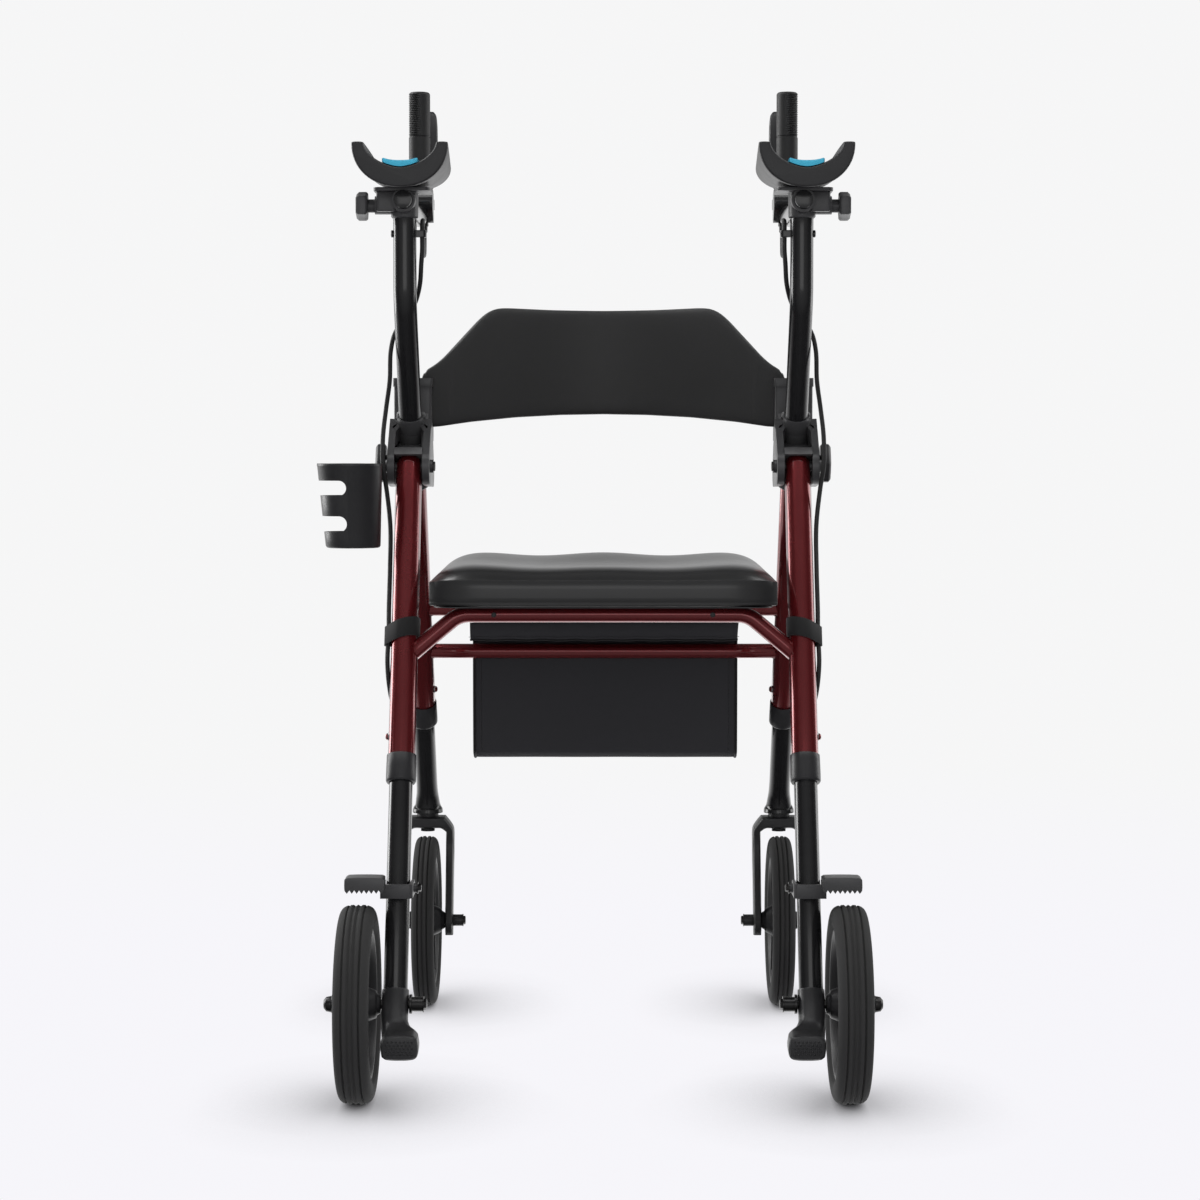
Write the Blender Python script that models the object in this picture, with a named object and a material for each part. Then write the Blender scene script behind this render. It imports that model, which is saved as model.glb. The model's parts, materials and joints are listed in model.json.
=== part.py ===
"""Upright rollator: a folding walking frame on four wheels, with forearm rests, seat, backrest and bag.

Metres, +Z up, +Y forward. Side pieces are drawn for the right side, X over 0, and mirrored for the left.
"""

import math

import bmesh
import bpy
from mathutils import Vector

# Stance of the frame
WHEELBASE = 0.532
WHEEL_RADIUS = 0.1015
LEG_PLANE = 0.2135
FRONT_LEAN = math.radians(32.4)
CASTER_TRAIL = 0.026
BRACKET_ALONG = 0.5167
FOLD_PIN_BEHIND = 0.0496
OVERHANG_SHIFT = 0.0110

# Fits
GAP = 0.0003

# Tubes
FRAME_TUBE = 0.0145
SLIDE_TUBE = 0.0125
SLIDE_WALL = 0.0019
CROSS_TUBE = 0.00875
TUBE_SIDES = 12
ROUND_SIDES = 12
PIN_SIDES = 10

# Rear legs, measured up the leg from the axle
REAR_TUBE_START = 0.245
REAR_LOWER_END = 0.375
REAR_BUTTON_ALONG = 0.288
BRAKE_PIVOT_ALONG = WHEEL_RADIUS + 0.0215
CABLE_STOP_ALONG = BRAKE_PIVOT_ALONG + 0.048
FOLD_PIN = 0.005
PLUG_LENGTH = 0.030

# Front legs, measured up the leg from the caster head
FRONT_TUBE_START = 0.131
FRONT_TUBE_END = BRACKET_ALONG + 0.0163
FRONT_LOWER_END = 0.261
FRONT_BUTTON_ALONG = 0.172
HEAD_SOLID_END = 0.037
COLLAR_LENGTH = 0.030
COLLAR_RADIUS = 0.0160
BUTTON = 0.0036

# Wheels
WHEEL_SIDES = 20
REAR_TRACK = LEG_PLANE + 0.0387
REAR_TYRE_WIDTH = 0.036
FRONT_TYRE_WIDTH = 0.027
RIM_RADIUS = WHEEL_RADIUS - 0.0240
TREAD_DEPTH = 0.0022
AXLE = 0.005
REAR_AXLE_END = REAR_TRACK + 0.0346
SPOKES = 5

# Casters
STEM = 0.006
CROWN_BOTTOM = 2 * WHEEL_RADIUS + 0.0075
CROWN_TOP = CROWN_BOTTOM + 0.0150
HEAD_BOTTOM = CROWN_TOP + 0.0040
HEAD_HEIGHT = HEAD_BOTTOM + 0.0125
STEM_TOP = HEAD_BOTTOM + 0.0177
BLADE_THICKNESS = 0.0095
BLADE_DEPTH = 0.030

# Seat
SEAT_BAR_Z = 0.486
LOWER_BAR_Z = SEAT_BAR_Z - 0.0515
REAR_BAR_Z = SEAT_BAR_Z + 0.0076
REAR_BAR_RISE = 0.0427
REAR_BAR_HALF_FLAT = LEG_PLANE - 0.0585
SEAT_HALF_WIDTH = LEG_PLANE - 0.0285
SEAT_BASE_THICKNESS = 0.0098
SEAT_RIB_DEPTH = 0.0040
CUSHION_HEIGHT = 0.0402
CUSHION_BAND = 0.0165
SEAT_HINGE_X = LEG_PLANE - 0.0935

# Brackets at the top of the frame
SLEEVE_START = BRACKET_ALONG - 0.0547
CAP_END = BRACKET_ALONG + 0.0343
SLEEVE_RADIUS = 0.0195
LUG_INNER = 0.0153
LUG_OUTER = 0.0230
LUG_RADIUS = 0.0205
HOOD_INNER = 0.0155
HOOD_OUTER = 0.0190
POCKET_LENGTH = 0.040
POCKET_DEPTH = 0.070
HEIGHT_KNOB_ALONG = BRACKET_ALONG - 0.0277
KNOB_STUD = 0.004

# Backrest
BACK_THICKNESS = 0.011
BACK_HALF_WIDTH = LEG_PLANE - 0.0100
BACK_BOW = 0.075
BACK_RISE = 0.0801
BACK_TOP_HALF = LEG_PLANE - 0.0935
BACK_END_HEIGHT = 0.0553
BACK_ARCH = 0.0160

# Posts and forearm rests
POST_START = BRACKET_ALONG - 0.1417
POST_BEND_Z = 0.832
POST_BEND_RADIUS = 0.050
POST_TOP = POST_BEND_Z + 0.0935
CLAMP_BOTTOM = POST_TOP - 0.0070
CLAMP_TOP = POST_TOP + 0.0237
CLAMP_HALF_LENGTH = 0.030
REACH_BAR_Z = POST_TOP + 0.0105
REACH_BAR = 0.0095
REACH_KNOB_Z = REACH_BAR_Z - 0.0045
REACH = 0.2564
GRIP_LENGTH = 0.1116
GRIP_BOTTOM = REACH_BAR_Z + 0.0380
GRIP_TOP = GRIP_BOTTOM + GRIP_LENGTH
GRIP_RADIUS = 0.0124
GRIP_RIBS = 5
HOUSING_BOTTOM = REACH_BAR_Z - 0.0023
HOUSING_TOP = REACH_BAR_Z + 0.0362
HOUSING_INNER = LEG_PLANE - 0.0156
LEVER_PIVOT_Z = REACH_BAR_Z + 0.0200
LEVER_PIN = 0.0025
GUIDE_Z = POST_TOP - 0.0238
CABLE = 0.0025
CABLE_POINT_SPACING = 0.030

# Bag and cup holder
BAG_HALF_WIDTH = LEG_PLANE - 0.0600
BAG_LENGTH = 0.108
BAG_BOTTOM = LOWER_BAR_Z - 0.1258
BAG_TOP = SEAT_BAR_Z - 0.0150
BAG_LOOP_X = 0.070
CUP_X = LEG_PLANE + 0.0602
CUP_HEIGHT = 0.091
CUP_ARM_X = LEG_PLANE + 0.0365
CUP_RIM = 0.0352
CUP_BASE = 0.0303
CUP_WALL = 0.0025

X_AXIS = Vector((1.0, 0.0, 0.0))
Y_AXIS = Vector((0.0, 1.0, 0.0))
Z_AXIS = Vector((0.0, 0.0, 1.0))
SIDES = (("L", -1), ("R", 1))

# Directions and centres that follow from the sizes above. The rear leg runs from its axle to the fold pin
REAR_AXLE = Vector((LEG_PLANE, -WHEELBASE / 2, WHEEL_RADIUS))
FRONT_AXLE = Vector((LEG_PLANE, WHEELBASE / 2, WHEEL_RADIUS))
CASTER_HEAD = Vector((LEG_PLANE, WHEELBASE / 2 + CASTER_TRAIL, HEAD_HEIGHT))
FRONT_UP = Vector((0.0, -math.sin(FRONT_LEAN), math.cos(FRONT_LEAN)))
FRONT_BEHIND = Vector((0.0, -math.cos(FRONT_LEAN), -math.sin(FRONT_LEAN)))
FOLD_CENTRE = CASTER_HEAD + FRONT_UP * BRACKET_ALONG + FRONT_BEHIND * FOLD_PIN_BEHIND
FOLD_PIN_ALONG = (FOLD_CENTRE - REAR_AXLE).length
REAR_UP = (FOLD_CENTRE - REAR_AXLE).normalized()
REAR_AHEAD = REAR_UP.cross(X_AXIS)


def rear_point(along, x=LEG_PLANE):
    """A point on the rear leg's centre line, this far up from the axle."""
    point = REAR_AXLE + REAR_UP * along
    return Vector((x, point.y, point.z))


def front_point(along, x=LEG_PLANE):
    """A point on the front leg's centre line, this far up from the caster head."""
    point = CASTER_HEAD + FRONT_UP * along
    return Vector((x, point.y, point.z))


def front_at_height(z, x=LEG_PLANE):
    return front_point((z - HEAD_HEIGHT) / FRONT_UP.z, x)


def rear_at_height(z, x=LEG_PLANE):
    return rear_point((z - WHEEL_RADIUS) / REAR_UP.z, x)


BRAKE_PIVOT = rear_point(BRAKE_PIVOT_ALONG)
HEIGHT_KNOB = front_point(HEIGHT_KNOB_ALONG)
SEAT_HINGE = front_at_height(SEAT_BAR_Z, 0.0)
LOWER_BAR = front_at_height(LOWER_BAR_Z, 0.0)
REAR_BAR = rear_at_height(REAR_BAR_Z - REAR_BAR_RISE, 0.0)
BAND_ALONG = (REAR_BAR.z - WHEEL_RADIUS) / REAR_UP.z + 0.0255
SEAT_REAR = REAR_BAR.y - 0.0510
SEAT_FRONT = SEAT_HINGE.y - 0.0202
SEAT_BASE_Z = REAR_BAR_Z + CROSS_TUBE + GAP
CUSHION_BOTTOM = SEAT_BASE_Z + SEAT_BASE_THICKNESS + GAP
POCKET_REAR = HEIGHT_KNOB.y - 0.0020
POCKET_FRONT = POCKET_REAR + POCKET_LENGTH
POCKET_BOTTOM = HEIGHT_KNOB.z + 0.0250
POCKET_TOP = POCKET_BOTTOM + POCKET_DEPTH
BACK_END_BOTTOM = POCKET_TOP - BACK_END_HEIGHT
POST_Y = front_at_height(POST_BEND_Z).y
TROUGH_REAR = POST_Y - 0.0786
TROUGH_FRONT = POST_Y + 0.1124
GRIP_Y = POST_Y + REACH
LEVER_PIVOT_Y = GRIP_Y + 0.0245
CUP_Y = FOLD_CENTRE.y - 0.0592
CUP_TOP_Z = FOLD_CENTRE.z + 0.0034
CUP_BOTTOM_Z = CUP_TOP_Z - CUP_HEIGHT


# Geometry helpers

def across(axis):
    """Two unit vectors square to an axis and to each other."""
    if abs(axis.x) > 0.9:
        return Y_AXIS.copy(), Z_AXIS.copy()
    first = (X_AXIS - axis * X_AXIS.dot(axis)).normalized()
    return first, axis.cross(first)


def oval(centre, u, v, half_u, half_v, count, power=2.0, phase=0.0):
    """Points of an ellipse in the plane of u and v. A power over 2 squares it up into a rounded rectangle."""
    points = []
    for index in range(count):
        angle = phase + 2 * math.pi * index / count
        c = math.cos(angle)
        s = math.sin(angle)
        reach_u = half_u * math.copysign(abs(c) ** (2 / power), c)
        reach_v = half_v * math.copysign(abs(s) ** (2 / power), s)
        points.append(centre + u * reach_u + v * reach_v)
    return points


def loft(bm, rings, looped=False):
    """Skins a row of rings. One point is a pole, and the ends are capped unless the row is looped."""
    rows = [[bm.verts.new(point) for point in ring] for ring in rings]
    pairs = list(zip(rows, rows[1:]))
    if looped:
        pairs.append((rows[-1], rows[0]))
    for low, high in pairs:
        count = max(len(low), len(high))
        for index in range(count):
            after = (index + 1) % count
            corners = [low[index % len(low)], low[after % len(low)]]
            corners += [high[after % len(high)], high[index % len(high)]]
            corners = list(dict.fromkeys(corners))
            if len(corners) > 2:
                bm.faces.new(corners)
    if not looped:
        for end in (rows[0], rows[-1]):
            if len(end) > 2:
                bm.faces.new(end)


def lathe(bm, base, axis, profile, sides=ROUND_SIDES, looped=False, phase=0.0):
    """Turns a profile of (distance along the axis, radius) pairs. A radius of 0 is a pole."""
    u, v = across(axis)
    rings = []
    for along, radius in profile:
        centre = base + axis * along
        if radius == 0:
            rings.append([centre])
        else:
            rings.append(oval(centre, u, v, radius, radius, sides, phase=phase))
    loft(bm, rings, looped)


def rod(bm, base, axis, start, end, radius, sides=ROUND_SIDES, phase=0.0):
    lathe(bm, base, axis, [(start, radius), (end, radius)], sides, phase=phase)


def prism(bm, outline, u, v, depth, low, high, origin=Vector()):
    """Pushes an outline of (u, v) pairs along the depth axis from low to high."""
    flat = [origin + u * a + v * b for a, b in outline]
    loft(bm, [[point + depth * low for point in flat], [point + depth * high for point in flat]])


def box(bm, low, high):
    outline = [(low[0], low[1]), (high[0], low[1]), (high[0], high[1]), (low[0], high[1])]
    prism(bm, outline, X_AXIS, Y_AXIS, Z_AXIS, low[2], high[2])


def side_prism(bm, outline, low, high):
    """A plate whose outline of (y, z) pairs is seen from the side, from X low to X high."""
    prism(bm, outline, Y_AXIS, Z_AXIS, X_AXIS, low, high)


def hull(circles, count=32, grow=0.0):
    """The outline round a set of circles, each given as (a, b, radius)."""
    points = []
    for index in range(count):
        angle = 2 * math.pi * (index + 0.5) / count
        a = math.cos(angle)
        b = math.sin(angle)
        best = max(circles, key=lambda circle: circle[0] * a + circle[1] * b + circle[2])
        points.append((best[0] + (best[2] + grow) * a, best[1] + (best[2] + grow) * b))
    return points


def rounded_box(low, high, radius, count=16):
    """The outline of a rectangle with round corners, low and high being its (a, b) corners."""
    corners = []
    for a in (low[0] + radius, high[0] - radius):
        for b in (low[1] + radius, high[1] - radius):
            corners.append((a, b, radius))
    return hull(corners, count)


def rounded_path(points, radius, steps=5):
    """A path whose inner corners are replaced by arcs of one radius."""
    points = [Vector(point) for point in points]
    path = [points[0]]
    for before, corner, after in zip(points, points[1:], points[2:]):
        back = (before - corner).normalized()
        ahead = (after - corner).normalized()
        half_turn = (math.pi - back.angle(ahead)) / 2
        setback = radius * math.tan(half_turn)
        centre = corner + (back + ahead).normalized() * (radius / math.cos(half_turn))
        first = corner + back * setback - centre
        last = corner + ahead * setback - centre
        turn = 2 * half_turn
        for step in range(steps + 1):
            share = step / steps
            mix = (first * math.sin((1 - share) * turn) + last * math.sin(share * turn)) / math.sin(turn)
            path.append(centre + mix)
    path.append(points[-1])
    return path


def path_rings(path, radii, sides):
    """Round sections along a path, kept from twisting."""
    rings = []
    u = None
    for index, point in enumerate(path):
        ahead = path[min(index + 1, len(path) - 1)]
        behind = path[max(index - 1, 0)]
        tangent = (ahead - behind).normalized()
        if u is None:
            u, v = across(tangent)
        u = (u - tangent * u.dot(tangent)).normalized()
        v = tangent.cross(u)
        rings.append(oval(point, u, v, radii[index], radii[index], sides))
    return rings


def pipe(bm, path, radius, wall, sides=TUBE_SIDES):
    """A tube along a path, open at both ends."""
    outside = path_rings(path, [radius] * len(path), sides)
    inside = path_rings(path, [radius - wall] * len(path), sides)
    loft(bm, outside + inside[::-1], looped=True)


# Materials and objects

def paint(name, colour, roughness, metallic):
    material = bpy.data.materials.new(name)
    material.use_nodes = True
    shader = material.node_tree.nodes["Principled BSDF"]
    shader.inputs["Base Color"].default_value = (*colour, 1.0)
    shader.inputs["Roughness"].default_value = roughness
    shader.inputs["Metallic"].default_value = metallic
    material.diffuse_color = (*colour, 1.0)
    return material


def clear_scene():
    for thing in list(bpy.data.objects):
        bpy.data.objects.remove(thing)


def tidy_mesh(bm, name, pivot, sign):
    """Mirrors a right-side shape for the left side, makes its pivot its origin and smooths it."""
    for vertex in bm.verts:
        vertex.co.x *= sign
        vertex.co -= pivot
    bmesh.ops.recalc_face_normals(bm, faces=bm.faces)
    mesh = bpy.data.meshes.new(name)
    bm.to_mesh(mesh)
    bm.free()
    mesh.shade_smooth()
    mesh.set_sharp_from_angle(angle=math.radians(38))
    return mesh


def add(name, bm, material, pivot=Vector(), sign=1):
    """Adds a piece, its origin at the pivot, which is given for the right side."""
    centre = Vector((pivot.x * sign, pivot.y, pivot.z))
    mesh = tidy_mesh(bm, name, centre, sign)
    mesh.materials.append(material)
    piece = bpy.data.objects.new(name, mesh)
    piece.location = centre
    piece.parent = MIDLINE
    bpy.context.scene.collection.objects.link(piece)
    return piece


def combine(piece, bm, operation, sign=1):
    """Adds or takes away a helper solid with a Boolean modifier."""
    label = f"{piece.name}_{operation.lower()}_{len(piece.modifiers)}"
    mesh = tidy_mesh(bm, label, piece.location, sign)
    helper = bpy.data.objects.new(label, mesh)
    helper.location = piece.location
    helper.parent = MIDLINE
    helper.hide_render = True
    helper.display_type = "WIRE"
    bpy.context.scene.collection.objects.link(helper)
    modifier = piece.modifiers.new(label, "BOOLEAN")
    modifier.operation = operation
    modifier.object = helper


def join(piece, bm, sign=1):
    combine(piece, bm, "UNION", sign)


def cut(piece, bm, sign=1):
    combine(piece, bm, "DIFFERENCE", sign)


# Rear legs

def join_button(leg, centre, axis, sign):
    """The head of the spring button that locks a sliding leg, in its hole in the frame tube."""
    button = bmesh.new()
    profile = [
        (SLIDE_TUBE + 0.0012, BUTTON),
        (FRAME_TUBE + 0.0018, BUTTON),
        (FRAME_TUBE + 0.0030, BUTTON * 0.6),
    ]
    lathe(button, centre, axis, profile, 8)
    join(leg, button, sign)


def add_rear_leg(side, sign):
    bm = bmesh.new()
    dome = []
    for step in range(4):
        angle = math.radians(30 * step)
        dome.append((FOLD_PIN_ALONG + FRAME_TUBE * math.sin(angle), FRAME_TUBE * math.cos(angle)))
    dome[-1] = (FOLD_PIN_ALONG + FRAME_TUBE, 0)
    inner = SLIDE_TUBE + GAP + 0.0001
    plug_start = FOLD_PIN_ALONG - PLUG_LENGTH
    profile = [
        (plug_start, 0),
        (plug_start, inner),
        (REAR_TUBE_START, inner),
        (REAR_TUBE_START, FRAME_TUBE),
    ]
    lathe(bm, REAR_AXLE, REAR_UP, profile + dome, TUBE_SIDES)
    leg = add(f"rear_leg_{side}", bm, RED_PAINT, FOLD_CENTRE, sign)
    bore = bmesh.new()
    rod(bore, FOLD_CENTRE, X_AXIS, -0.03, 0.03, FOLD_PIN + GAP, PIN_SIDES)
    cut(leg, bore, sign)
    join_button(leg, rear_point(REAR_BUTTON_ALONG), X_AXIS, sign)


def collar_profile(tube_start):
    """A ring that grips the frame tube's end and closes in below it round the sliding tube."""
    low = tube_start - 0.0080
    seat = tube_start - GAP
    high = low + COLLAR_LENGTH
    inner = SLIDE_TUBE + GAP
    outer = FRAME_TUBE + GAP
    return [
        (low, inner),
        (low, COLLAR_RADIUS - 0.0012),
        (low + 0.0020, COLLAR_RADIUS),
        (high, COLLAR_RADIUS - 0.0003),
        (high, outer),
        (seat, outer),
        (seat, inner),
    ]


def add_collars(side, sign):
    ends = (
        ("rear", REAR_AXLE, REAR_UP, REAR_TUBE_START),
        ("front", CASTER_HEAD, FRONT_UP, FRONT_TUBE_START),
    )
    for name, base, axis, start in ends:
        bm = bmesh.new()
        lathe(bm, base, axis, collar_profile(start), TUBE_SIDES, looped=True)
        add(f"{name}_collar_{side}", bm, BLACK_PLASTIC, base + axis * start, sign)


def add_rear_lower_leg(side, sign):
    foot_top = 0.0148
    inner = SLIDE_TUBE - SLIDE_WALL
    bm = bmesh.new()
    profile = [
        (foot_top, inner),
        (foot_top, SLIDE_TUBE),
        (REAR_LOWER_END, SLIDE_TUBE),
        (REAR_LOWER_END, inner),
    ]
    lathe(bm, REAR_AXLE, REAR_UP, profile, TUBE_SIDES, looped=True)
    leg = add(f"rear_lower_leg_{side}", bm, BLACK_PAINT, BRAKE_PIVOT, sign)
    stop = bmesh.new()
    outline = rounded_box((-0.0045, SLIDE_TUBE - 0.0007), (0.0045, SLIDE_TUBE + 0.0080), 0.0015, 8)
    start = CABLE_STOP_ALONG - 0.006
    end = CABLE_STOP_ALONG + 0.006
    prism(stop, outline, X_AXIS, REAR_AHEAD, REAR_UP, start, end, REAR_AXLE)
    join(leg, stop, sign)
    bore = bmesh.new()
    rod(bore, BRAKE_PIVOT, X_AXIS, -0.02, 0.02, 0.004 + GAP, PIN_SIDES)
    cut(leg, bore, sign)


def add_rear_foot(side, sign):
    """The casting round the axle. Its spigot fills the lower leg, and its tail is the pedal."""
    spigot = SLIDE_TUBE - SLIDE_WALL - GAP
    sections = [
        (rear_point(0.050), REAR_UP, 0.0, spigot - 0.0010, spigot - 0.0010, 2.0),
        (rear_point(0.047), REAR_UP, 0.0, spigot, spigot, 2.0),
        (rear_point(0.0145), REAR_UP, 0.0, spigot, spigot, 2.0),
        (rear_point(0.0145), REAR_UP, 0.0, 0.0138, 0.0138, 2.0),
        (rear_point(0.0000), REAR_UP, 0.0, 0.0141, 0.0150, 2.2),
    ]
    bend = (
        (0.0095, 0.0150, 0.55, 0.0000, 0.0138, 0.0155, 2.4),
        (0.0190, 0.0250, 0.95, -0.0025, 0.0155, 0.0150, 2.8),
        (0.0320, 0.0300, 1.35, -0.0065, 0.0182, 0.0138, 3.4),
        (0.0440, 0.0315, 1.57, -0.0085, 0.0190, 0.0130, 4.0),
        (0.0670, 0.0315, 1.57, -0.0085, 0.0190, 0.0130, 4.0),
        (0.0700, 0.0315, 1.57, -0.0085, 0.0170, 0.0110, 4.0),
    )
    for behind, below, turn, shift, half_x, half_v, power in bend:
        axis = Vector((0.0, math.sin(turn), math.cos(turn)))
        centre = REAR_AXLE - Vector((0.0, behind, below))
        sections.append((centre, axis, shift, half_x, half_v, power))
    bm = bmesh.new()
    rings = []
    for centre, axis, shift, half_x, half_v, power in sections:
        u, v = across(axis)
        rings.append(oval(centre + X_AXIS * shift, u, v, half_x, half_v, ROUND_SIDES, power))
    loft(bm, rings)
    foot = add(f"rear_foot_{side}", bm, BLACK_PLASTIC, REAR_AXLE, sign)
    bore = bmesh.new()
    rod(bore, REAR_AXLE, X_AXIS, -0.03, 0.03, AXLE + GAP, PIN_SIDES)
    cut(foot, bore, sign)


def add_rear_axle(side, sign):
    boss_inner = REAR_TRACK - 0.0235
    boss_outer = REAR_TRACK + 0.0265
    inner_face = LEG_PLANE - 0.0143
    outer_face = LEG_PLANE + 0.0141
    profile = [
        (inner_face - 0.0145, 0),
        (inner_face - 0.0145, 0.0075),
        (inner_face - 0.0030, 0.0075),
        (inner_face - 0.0030, 0.0100),
        (inner_face - GAP, 0.0100),
        (inner_face - GAP, AXLE),
        (boss_outer + GAP, AXLE),
        (boss_outer + GAP, 0.0085),
        (REAR_AXLE_END - 0.0025, 0.0075),
        (REAR_AXLE_END, 0.0045),
        (REAR_AXLE_END, 0),
    ]
    base = Vector((0, REAR_AXLE.y, REAR_AXLE.z))
    bm = bmesh.new()
    lathe(bm, base, X_AXIS, profile, PIN_SIDES)
    axle = add(f"rear_axle_{side}", bm, STEEL, REAR_AXLE, sign)
    washer = bmesh.new()
    rod(washer, base, X_AXIS, outer_face + 0.0004, boss_inner - GAP, 0.0080, PIN_SIDES)
    join(axle, washer, sign)


def add_brake_shoe(side, sign):
    """A toothed block over the tyre, on a fork that pivots on a pin through the lower leg."""
    y0 = BRAKE_PIVOT.y
    z0 = BRAKE_PIVOT.z
    inner_cheek = LEG_PLANE - SLIDE_TUBE - 0.0042
    outer_cheek = LEG_PLANE + SLIDE_TUBE + 0.0042
    cheek = 0.0034
    web = y0 - 0.0235
    fork = [
        (inner_cheek, y0 + 0.0065),
        (inner_cheek, web - 0.0030),
        (inner_cheek + 0.0030, web - 0.0060),
        (outer_cheek, web - 0.0060),
        (outer_cheek, y0 + 0.0065),
        (outer_cheek - cheek, y0 + 0.0065),
        (outer_cheek - cheek, web),
        (inner_cheek + cheek, web),
        (inner_cheek + cheek, y0 + 0.0065),
    ]
    bm = bmesh.new()
    prism(bm, fork, X_AXIS, Y_AXIS, Z_AXIS, z0 - 0.0070, z0 + 0.0075)
    shoe = add(f"brake_shoe_{side}", bm, BLACK_PLASTIC, BRAKE_PIVOT, sign)
    teeth = 8
    left = REAR_TRACK - 0.0276
    right = REAR_TRACK + 0.0124
    bottom = z0 + 0.0022
    pitch = (right - left) / teeth
    outline = [(right, bottom + 0.0035), (right, z0 + 0.0165), (right - 0.003, z0 + 0.0180)]
    outline += [(left + 0.003, z0 + 0.0180), (left, z0 + 0.0165), (left, bottom + 0.0035)]
    for tooth in range(teeth):
        outline.append((left + pitch * (tooth + 0.5), bottom))
        if tooth < teeth - 1:
            outline.append((left + pitch * (tooth + 1), bottom + 0.0035))
    comb = bmesh.new()
    prism(comb, outline, X_AXIS, Z_AXIS, Y_AXIS, web - 0.0325, web - 0.0052)
    join(shoe, comb, sign)
    pin = bmesh.new()
    profile = [
        (inner_cheek - 0.0034, 0.0050),
        (inner_cheek + 0.0004, 0.0050),
        (inner_cheek + 0.0004, 0.0040),
        (outer_cheek - 0.0004, 0.0040),
        (outer_cheek - 0.0004, 0.0050),
        (outer_cheek + 0.0012, 0.0050),
    ]
    lathe(pin, Vector((0, y0, z0)), X_AXIS, profile, PIN_SIDES)
    join(shoe, pin, sign)


def add_leg_band(side, sign):
    """A strap round the rear leg and the brake cable that runs down its outer side."""
    bm = bmesh.new()
    cable_at = FRAME_TUBE + CABLE + GAP
    circles = [(0.0, 0.0, FRAME_TUBE), (cable_at, 0.0, CABLE)]
    inside = hull(circles, 16, 0.0008)
    outside = hull(circles, 16, 0.0020)
    slant = 0.25
    rings = []
    for outline, half in ((inside, -0.0105), (outside, -0.0105), (outside, 0.0105), (inside, 0.0105)):
        ring = []
        for a, b in outline:
            ring.append(rear_point(BAND_ALONG) + X_AXIS * a + REAR_AHEAD * b + REAR_UP * (half - slant * a))
        rings.append(ring)
    loft(bm, rings, looped=True)
    add(f"leg_band_{side}", bm, WEBBING, rear_point(BAND_ALONG), sign)


# Wheels

def tyre_profile(width, rim_half, ribs):
    """Half sections of a tyre as (x, radius), from one bead over the ribbed tread to the other."""
    half = width / 2
    outer = WHEEL_RADIUS / math.cos(math.pi / WHEEL_SIDES)
    bead = RIM_RADIUS + GAP
    profile = [(-rim_half, bead), (-half, bead + 0.0100), (-half + 0.0022, outer - 0.0035)]
    tread = half - 0.0045
    steps = 2 * ribs - 2
    for step in range(steps + 1):
        x = -tread + 2 * tread * step / steps
        profile.append((x, outer - TREAD_DEPTH * (step % 2)))
    profile += [(half - 0.0022, outer - 0.0035), (half, bead + 0.0100), (rim_half, bead)]
    return profile


def add_tyre(name, centre, width, rim_half, ribs, sign):
    bm = bmesh.new()
    phase = -math.pi / 2 + math.pi / WHEEL_SIDES
    profile = tyre_profile(width, rim_half, ribs)
    lathe(bm, centre, X_AXIS, profile, WHEEL_SIDES, looped=True, phase=phase)
    add(name, bm, TYRE_RUBBER, centre, sign)


def add_hub(name, centre, rim_half, boss_inner, boss_outer, sign):
    """A moulded hub whose web is open between the spokes."""
    web = 0.0040
    bore = AXLE + GAP
    window_low = 0.0240
    window_high = RIM_RADIUS - 0.0135
    profile = [
        (boss_inner, bore),
        (boss_inner, 0.0135),
        (-web, window_low),
        (-web, window_high),
        (-rim_half, RIM_RADIUS - 0.0035),
        (-rim_half, RIM_RADIUS),
        (rim_half, RIM_RADIUS),
        (rim_half, RIM_RADIUS - 0.0035),
        (web, window_high),
        (web, window_low),
        (boss_outer, 0.0135),
        (boss_outer, bore),
    ]
    phase = -math.pi / 2 + math.pi / WHEEL_SIDES
    u, v = across(X_AXIS)
    bm = bmesh.new()
    rows = []
    for x, radius in profile:
        points = oval(centre + X_AXIS * x, u, v, radius, radius, WHEEL_SIDES, phase=phase)
        rows.append([bm.verts.new(point) for point in points])
    in_low, in_high, out_high, out_low = 2, 3, 8, 9
    per_spoke = WHEEL_SIDES // SPOKES
    solid = 1
    for index in range(WHEEL_SIDES):
        after = (index + 1) % WHEEL_SIDES
        open_here = index % per_spoke >= solid
        for row in range(len(rows)):
            if open_here and row in (in_low, out_high):
                continue
            low = rows[row]
            high = rows[(row + 1) % len(rows)]
            bm.faces.new([low[index], low[after], high[after], high[index]])
        if open_here:
            for near, far in ((rows[in_low], rows[out_low]), (rows[in_high], rows[out_high])):
                bm.faces.new([near[index], near[after], far[after], far[index]])
        if index % per_spoke in (0, solid):
            bm.faces.new([rows[row][index] for row in (in_low, in_high, out_high, out_low)])
    add(name, bm, HUB_PLASTIC, centre, sign)


def add_wheels(side, sign):
    rear = Vector((REAR_TRACK, REAR_AXLE.y, REAR_AXLE.z))
    add_tyre(f"rear_tyre_{side}", rear, REAR_TYRE_WIDTH, 0.0145, 4, sign)
    add_hub(f"rear_hub_{side}", rear, 0.0145, -0.0235, 0.0265, sign)
    add_tyre(f"caster_tyre_{side}", FRONT_AXLE, FRONT_TYRE_WIDTH, 0.0100, 3, sign)
    add_hub(f"caster_hub_{side}", FRONT_AXLE, 0.0100, -0.0219, 0.0219, sign)


# Front legs and casters

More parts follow.
